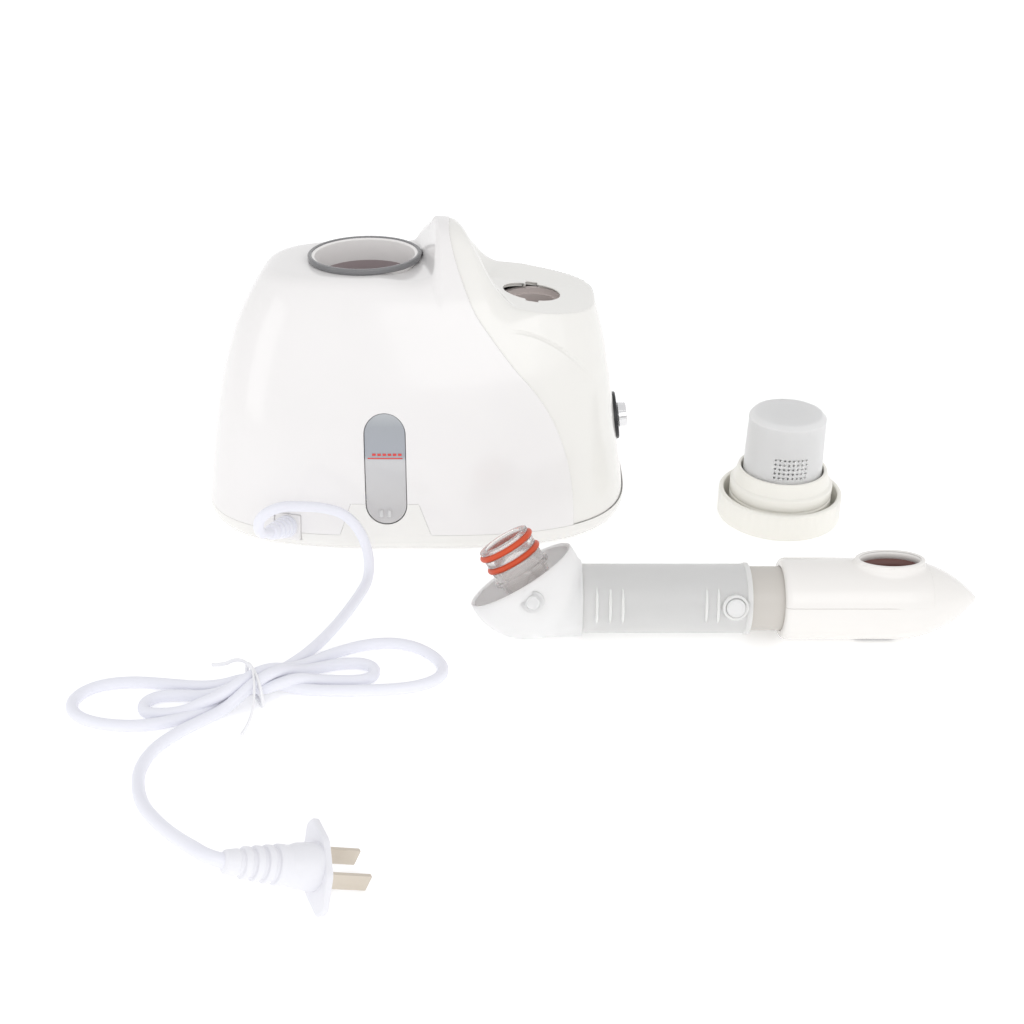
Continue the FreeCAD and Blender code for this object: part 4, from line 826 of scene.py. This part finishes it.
def make_elbow():
    detail = ((360, 200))
    field = elbow_field(0.0)
    mouth = BALL + NECK_WAY * 3.5

    def below_mouth(points):
        return (np.array(mouth) - local(points, ARM)) @ np.array(NECK_WAY)

    def open_end(points):
        return 81.6 - local(points, ARM)[:, 0]

    skin = trimmed(cast(field, ARM @ (BALL + Vector((8, 0, -4))), *detail, 60.0),
                   [below_mouth, open_end], 0.5, field)
    settle(shell_piece("elbow_skin", skin, 1.8), "elbow_housing")
    for side in (-1, 1):
        boss = lathe("pin_boss_%s" % ("front" if side < 0 else "back"),
                     [(0.0, 24.6), (5.0, 24.6), (5.0, 25.5, 0.4), (3.1, 25.5, 0.3),
                      (2.6, 26.3, 0.4), (0.0, 26.3)],
                     ARM @ Matrix.Translation(PIVOT) @ Matrix.Rotation(math.radians(90 * side), 4,
                                                                      "X"), 48, closed=False)
        settle(boss, body="arm", slot="frosted_clear")
    settle(lathe("pivot_pin_rod", [(0.0, -24.8), (2.4, -24.8, 0.3), (2.4, 24.8, 0.3), (0.0, 24.8)],
                 ARM @ Matrix.Translation(PIVOT) @ Matrix.Rotation(math.radians(90), 4, "X"), 32,
                 closed=False), "pivot_pin")


def ridge(name, x, low, high, radius, width=0.7, height=0.45):
    """A raised line round the front of the tube, its ends run out into the wall."""
    points, faces, steps, ring = [], [], 28, 7
    for step in range(steps + 1):
        part = step / steps
        turn = math.radians(low + (high - low) * part)
        swell = min(1.0, 4 * min(part, 1 - part) + 0.05) ** 0.5
        for corner in range(ring):
            bend = math.pi * corner / (ring - 1)
            off = radius - 0.15 + (height + 0.15) * math.sin(bend) * swell
            points.append(arm_side(x + width * math.cos(bend) * swell, -off * math.cos(turn),
                                   off * math.sin(turn)))
    for step in range(steps):
        for corner in range(ring - 1):
            first = step * ring + corner
            faces.append((first, first + 1, first + ring + 1, first + ring))
    piece = piece_from(name, points, faces)
    return settle(piece, body="arm", slot="frosted_clear", material="rib_clear")


def make_tube():
    tube = lathe("arm_tube_skin", [
        (14.25, 77.0), (15.3, 77.0), (15.3, 152.6, 0.2), (15.8, 152.8, 0.2), (15.8, 155.0, 0.4),
        (14.25, 155.0, 0.3)], ARM @ ALONG, 128)
    settle(tube, "arm_tube", material="tube_clear")
    for index, across in enumerate((87.6, 93.4, 98.9, 135.0, 140.1)):
        ridge("arm_rib_%d" % index, across, -30, 32, 15.3)
    across = Matrix.Rotation(math.radians(90), 4, "X")
    here = ARM @ Matrix.Translation((147.4, 0, 0)) @ across
    ring = lathe("detent_ring", [(4.3, 13.6), (5.7, 13.6), (5.7, 16.4, 0.5), (4.9, 16.8, 0.3),
                                 (4.3, 16.4, 0.3)], here, 64)
    settle(ring, body="arm", slot="frosted_clear", material="rib_clear")
    button = lathe("detent_button_cap", [
        (0.0, 15.4), (4.1, 15.4), (4.1, 17.2, 0.5), (2.4, 17.6, 0.5), (0.0, 17.6)],
        here, 48, closed=False)
    settle(button, "detent_button")
    # The slide tube takes slider_clear, whose beige-brown is painted shade.
    slider = lathe("slide_tube_skin", [
        (12.9, 86.0), (14.15, 86.0, 0.3), (14.15, 181.0, 0.3), (12.9, 181.0)], ARM @ ALONG, 128)
    settle(slider, "slide_tube")


def make_neck():
    turn = Z.rotation_difference(NECK_WAY).to_matrix().to_4x4()
    place = ARM @ Matrix.Translation(PIVOT - NECK_WAY * 5.0) @ turn
    outline = [(10.2, 0.0), (11.4, 13.0, 0.4), (13.2, 13.0, 0.5), (13.2, 15.0, 0.5),
               (11.9, 15.0, 0.3)]
    for middle in (20.9, 27.2):
        outline += [(11.9, middle - 1.45, 0.3), (10.25, middle - 1.45, 0.2),
                    (10.25, middle + 1.45, 0.2), (11.9, middle + 1.45, 0.3)]
    outline += [(11.9, 30.2, 0.5), (9.0, 30.2, 0.5), (9.0, 11.0, 0.5), (8.2, 0.0)]
    settle(lathe("neck_tube_skin", outline, place, 96, rounding=3), "neck_tube")
    for node, middle in (("lower_seal", 20.9), ("upper_seal", 27.2)):
        ring = [(11.6 + 1.45 * math.cos(turn), middle + 1.35 * math.sin(turn))
                for turn in (math.pi * step / 8 for step in range(16))]
        settle(lathe(node + "_ring", ring, place, 96), node)


def nose_radius(along, radius=18.0, nose=219.0, tip=255.8):
    """The barrel's outer radius, and beyond the nose line the arc down to its blunt tip."""
    drop, reach = radius - 0.8, tip - nose
    sweep = (reach * reach + drop * drop) / (2 * drop)
    past = np.clip(along - nose, 0, reach)
    return np.sqrt(sweep ** 2 - past ** 2) - sweep + radius


UPRIGHT = Matrix.Translation(TUBE_LINE)


def nozzle_field(inset):
    def field(points):
        near = local(points, UPRIGHT)
        off = np.hypot(near[:, 1], near[:, 2])
        slope = (nose_radius(near[:, 0] + 0.3) - nose_radius(near[:, 0] - 0.3)) / 0.6
        barrel = (off - nose_radius(near[:, 0])) / np.sqrt(1 + slope ** 2)
        barrel = smooth_max(barrel, 169.0 - near[:, 0], 3.0)
        barrel = np.maximum(barrel, near[:, 0] - 255.8)
        height = np.clip(near[:, 2], 10.0, 20.4)
        flare = 1.0 + (height - 20.4) * 0.016
        across, side = near[:, 0] - OUTLET_X, near[:, 1]
        share = np.hypot(across / (15.5 * flare), side / (8.4 * flare))
        wall = (share - 1) * np.hypot(across, side) / np.maximum(share, 1e-4)
        wall = np.maximum(wall, -8.4)
        collar = smooth_max(wall, near[:, 2] - 20.4, 1.2)
        collar = np.maximum(collar, -near[:, 2])
        return smooth_min(barrel, collar, 2.6) + inset
    return field


def make_nozzle():
    detail = ((480, 300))
    field = nozzle_field(0.0)
    surface = cast(field, UPRIGHT @ Vector((212, 0, 0)), *detail, 60.0)

    def hole(points):
        near = local(points, UPRIGHT)
        across, side = near[:, 0] - OUTLET_X, near[:, 1]
        share = np.hypot(across / 13.4, side / 6.5)
        gap = (share - 1) * np.hypot(across, side) / np.maximum(share, 1e-4)
        return np.where(near[:, 2] > 6, np.maximum(gap, -5.0), ELSEWHERE)

    def open_end(points):
        near = local(points, ARM)
        return np.where(near[:, 0] < 170, np.hypot(near[:, 1], near[:, 2]) - 14.3, ELSEWHERE)

    def vent(points):
        near = local(points, ARM)
        gap = np.maximum(np.abs(near[:, 0] - 212.0) - 8.5, np.abs(near[:, 1]) - 1.5)
        return np.where(near[:, 2] < -10, gap, ELSEWHERE)

    def upper(points):
        near = local(points, ARM)
        return np.minimum(near[:, 2], 233.0 - near[:, 0])

    def lower(points):
        return -upper(points)

    def part_line(points):
        near = local(points, ARM)
        return np.abs(near[:, 2]) + np.maximum(near[:, 0] - 216.0, 0) * 0.05

    top = trimmed(surface, [upper, hole, open_end], 0.35, field, [hole, open_end, part_line])
    bottom = trimmed(surface, [lower, open_end, vent], 0.35, field, [open_end, vent, part_line])
    settle(shell_piece("nozzle_upper_skin", top, 1.8), "nozzle_upper")
    settle(shell_piece("nozzle_lower_skin", bottom, 1.8), "nozzle_lower")


# ---------------------------------------------------------------- lid, plug, boot and tie

def make_funnel():
    """The outlet's inner wall, an oval funnel down to the grille; its lower ring wears the grille's
    own dark brown as painted shade deep in the outlet.
    """
    for name, levels, colour in (
            ("outlet_funnel", ((13.5, 6.6, 19.9), (13.2, 6.3, 19.2), (12.6, 5.8, 17.0)),
             "nozzle_white"),
            # Painted shade: the grille's dark brown carried up the funnel's lower wall.
            ("outlet_shade_liner", ((12.6, 5.8, 17.0), (11.4, 4.6, 14.0), (10.9, 4.2, 10.4)),
             "grille_brown")):
        points, faces, count = [], [], 72
        for half, side, height in levels:
            points += [UPRIGHT @ Vector((OUTLET_X + half * math.cos(turn), side * math.sin(turn),
                                         height))
                       for turn in (2 * math.pi * step / count for step in range(count))]
        for level in range(len(levels) - 1):
            first = level * count
            faces += [(first + step, first + (step + 1) % count,
                       first + count + (step + 1) % count, first + count + step)
                      for step in range(count)]
        funnel = piece_from(name, points, faces)
        wall = funnel.modifiers.new("wall", "SOLIDIFY")
        wall.thickness, wall.offset = 0.6 * MM, 0.0
        settle(funnel, body="nozzle", slot="nozzle_white", material=colour)


def make_lid():
    place = Matrix.Translation(LID_PLACE)
    ring = fluted("lid_ring", [
        (0.1, 0.0), (31.4, 0.0, 1.0), (31.4, 14.2, 1.2), (28.9, 14.2, 0.8), (28.6, 2.2, 1.5),
        (0.1, 2.2)], place, 40, 1.0, 1.0, 13.4)
    settle(ring, "lid_cap")
    settle(lathe("basket_seat", [
        (21.0, 2.3), (26.0, 2.3, 0.6), (26.0, 12.4, 0.4), (25.4, 12.8, 0.2), (25.4, 13.6, 0.2),
        (26.0, 14.0, 0.4), (26.0, 19.5, 0.9), (24.4, 20.5, 0.6), (22.5, 27.2, 1.1),
        (21.0, 27.2, 0.5)], place, 128), "basket_holder")
    basket = own_mesh("aroma_basket")
    tidy(basket, 0.01, 32.0)
    settle(linked("basket_skin", basket), "aroma_basket")


def make_boot():
    ribs = [(0.1, 0.4), (5.6, 0.4, 0.3)]
    for index in range(4):
        low, out = 3.2 + 3.9 * index, 5.5 - 0.42 * index
        ribs += [(out, low, 0.5), (out - 1.0, low + 0.3, 0.3), (out - 1.0, low + 1.5, 0.3),
                 (out - 0.1, low + 1.8, 0.5)]
    ribs += [(3.5, 20.2, 0.8), (2.6, 20.6, 0.4), (0.1, 20.4)]
    settle(lathe("boot_skin", ribs, GLAND_PLACE, 64), "strain_relief")
    rounded("cord_gland", 1.0)


PLUG_AXIS = Vector((0.822, 0.379, -0.426)).normalized()
PLUG_SPREAD = Vector((-0.394, 0.917, 0.055)).normalized()
PLUG_FACE = Vector((-13.9, -302.6, 10.6))


def make_plug():
    side = PLUG_AXIS.cross(PLUG_SPREAD).normalized()
    spread = side.cross(PLUG_AXIS)
    front = Matrix((spread, side, PLUG_AXIS)).transposed().to_4x4()
    front = Matrix.Translation(PLUG_FACE) @ front
    outline = [(0.1, -1.0), (8.2, -1.0), (8.2, -4.0, 2.0), (7.6, -10.0, 3.0), (6.6, -13.0, 2.0)]
    for index in range(4):
        start, out = -15.0 - 3.9 * index, 6.9 - 0.5 * index
        outline += [(out, start, 0.5), (out, start - 2.3, 0.5), (out - 1.2, start - 2.5, 0.3),
                    (out - 1.2, start - 3.7, 0.3)]
    outline += [(4.6, -30.9, 0.5), (3.9, -35.2, 0.8), (2.6, -35.6, 0.4), (0.1, -35.6)]
    grip = lathe("plug_grip", outline, front, 72)
    settle(grip, "plug_body")
    turn = Matrix.Rotation(math.radians(26), 4, "Z")
    rim = fillet([(-16.9, -2.4, 2.4), (-6.5, -8.6, 6.0), (6.5, -8.6, 6.0), (16.9, -2.4, 2.4),
                  (16.9, 2.4, 2.4), (6.5, 8.6, 6.0), (-6.5, 8.6, 6.0), (-16.9, 2.4, 2.4)], True, 6)
    count = len(rim)
    points = [front @ turn @ Vector((at[0], at[1], height)) for height in (-2.6, 0.0) for at in rim]
    faces = [tuple(range(count - 1, -1, -1)), tuple(range(count, 2 * count))]
    faces += [(step, (step + 1) % count, count + (step + 1) % count, count + step)
              for step in range(count)]
    plate = piece_from("plug_flange", points, faces)
    plate.data.set_sharp_from_angle(angle=math.radians(40))
    settle(bevelled(plate, 0.7), body="housing", slot="plug_white")
    rounded("plug_pins", 0.3)


def ribbon(name, points, width, thick, **choice):
    piece = nurbs(name, points, thick / 2)
    piece.data.extrude = (width - thick) / 2 * MM
    piece.data.bevel_resolution = 2
    return settle(piece, **choice)


def make_tie():
    middle, way = Vector((-56.0, -191.5, 0)), Vector((-0.469, 0.883, 0))
    loop = [(-9.8, 0.9), (-9.8, 6.0), (-8.0, 11.6), (-2.0, 14.0), (4.0, 13.6), (8.6, 10.6),
            (9.8, 5.4), (9.6, 0.9), (4.0, 0.7), (-4.0, 0.7)]
    path = [middle + way * off + Z * lift for off, lift in loop]
    band = nurbs("tie_band", path, 0.6, closed=True)
    band.data.extrude = 0.7 * MM
    settle(band, "twist_tie")
    knot = middle + Z * 13.6
    ribbon("tie_tail_long", [
        knot, knot + Vector((1.5, -5.0, 0.4)), knot + Vector((2.6, -13.0, -5.0)),
        Vector((-54.4, -212.0, 2.2)), Vector((-57.0, -219.5, 1.2))],
        3.2, 0.9, body="housing", slot="tie_white")
    ribbon("tie_tail_short", [
        knot, knot + Vector((-3.0, 4.5, 0.6)), knot + Vector((-9.0, 9.6, -1.4)),
        Vector((-71.0, -178.0, 6.4)), Vector((-77.0, -174.6, 4.0))],
        1.7, 0.9, body="housing", slot="tie_white")


def make_stage():
    floor = bpy.data.meshes.new("floor")
    floor.from_pydata([(-3, -3, 0), (3, -3, 0), (3, 3, 0), (-3, 3, 0)], [], [(0, 1, 2, 3)])
    piece = bpy.data.objects.new("floor", floor)
    bpy.context.scene.collection.objects.link(piece)
    floor.materials.append(shader("floor_white", (0.9, 0.9, 0.9), 0.7, bump=0.0, vary=0.0,
                                  Emission_Color=(1, 1, 1, 1), Emission_Strength=0.3))
    world = bpy.data.worlds.new("studio")
    world.use_nodes = True
    nodes, links = world.node_tree.nodes, world.node_tree.links
    place = nodes.new("ShaderNodeTexCoord")
    parts = nodes.new("ShaderNodeSeparateXYZ")
    sky = nodes.new("ShaderNodeValToRGB")
    sky.color_ramp.elements[0].color = (1.0, 1.0, 1.0, 1)
    sky.color_ramp.elements[1].position = 0.8
    sky.color_ramp.elements[1].color = (0.80, 0.80, 0.805, 1)
    links.new(place.outputs["Generated"], parts.inputs["Vector"])
    links.new(parts.outputs["Z"], sky.inputs["Fac"])
    links.new(sky.outputs["Color"], nodes["Background"].inputs["Color"])
    nodes["Background"].inputs["Strength"].default_value = 1.02
    bpy.context.scene.world = world
    for name, place, aim, size, power in (
            ("window_light", (-1.25, -0.6, 0.5), (-0.05, -0.05, 0.07), (0.55, 0.8), 1.25),
            ("right_window", (1.0, -0.95, 0.7), (0.05, -0.05, 0.07), (0.6, 0.6), 0.7),
            ("front_light", (0.4, -1.5, 0.9), (0.05, -0.05, 0.05), (1.2, 0.8), 3.6)):
        light = bpy.data.lights.new(name, "AREA")
        light.shape, light.energy = "RECTANGLE", power
        light.size, light.size_y = size
        lamp = bpy.data.objects.new(name, light)
        lamp.location = place
        lamp.rotation_euler = (Vector(aim) - Vector(place)).to_track_quat("-Z", "Y").to_euler()
        bpy.context.scene.collection.objects.link(lamp)
    bpy.context.scene.view_settings.view_transform = "Standard"


paint_frame()
make_stage()
make_housing()
make_tank()
make_window_marks()
make_knob()
make_elbow()
make_tube()
make_neck()
make_nozzle()
make_funnel()
make_lid()
make_boot()
make_plug()
make_tie()
for node in ("rubber_feet", "base_screws"):
    rounded(node, 0.25)
settle(lead, ["cord_lead", "cord_hank", "cord_tail"])
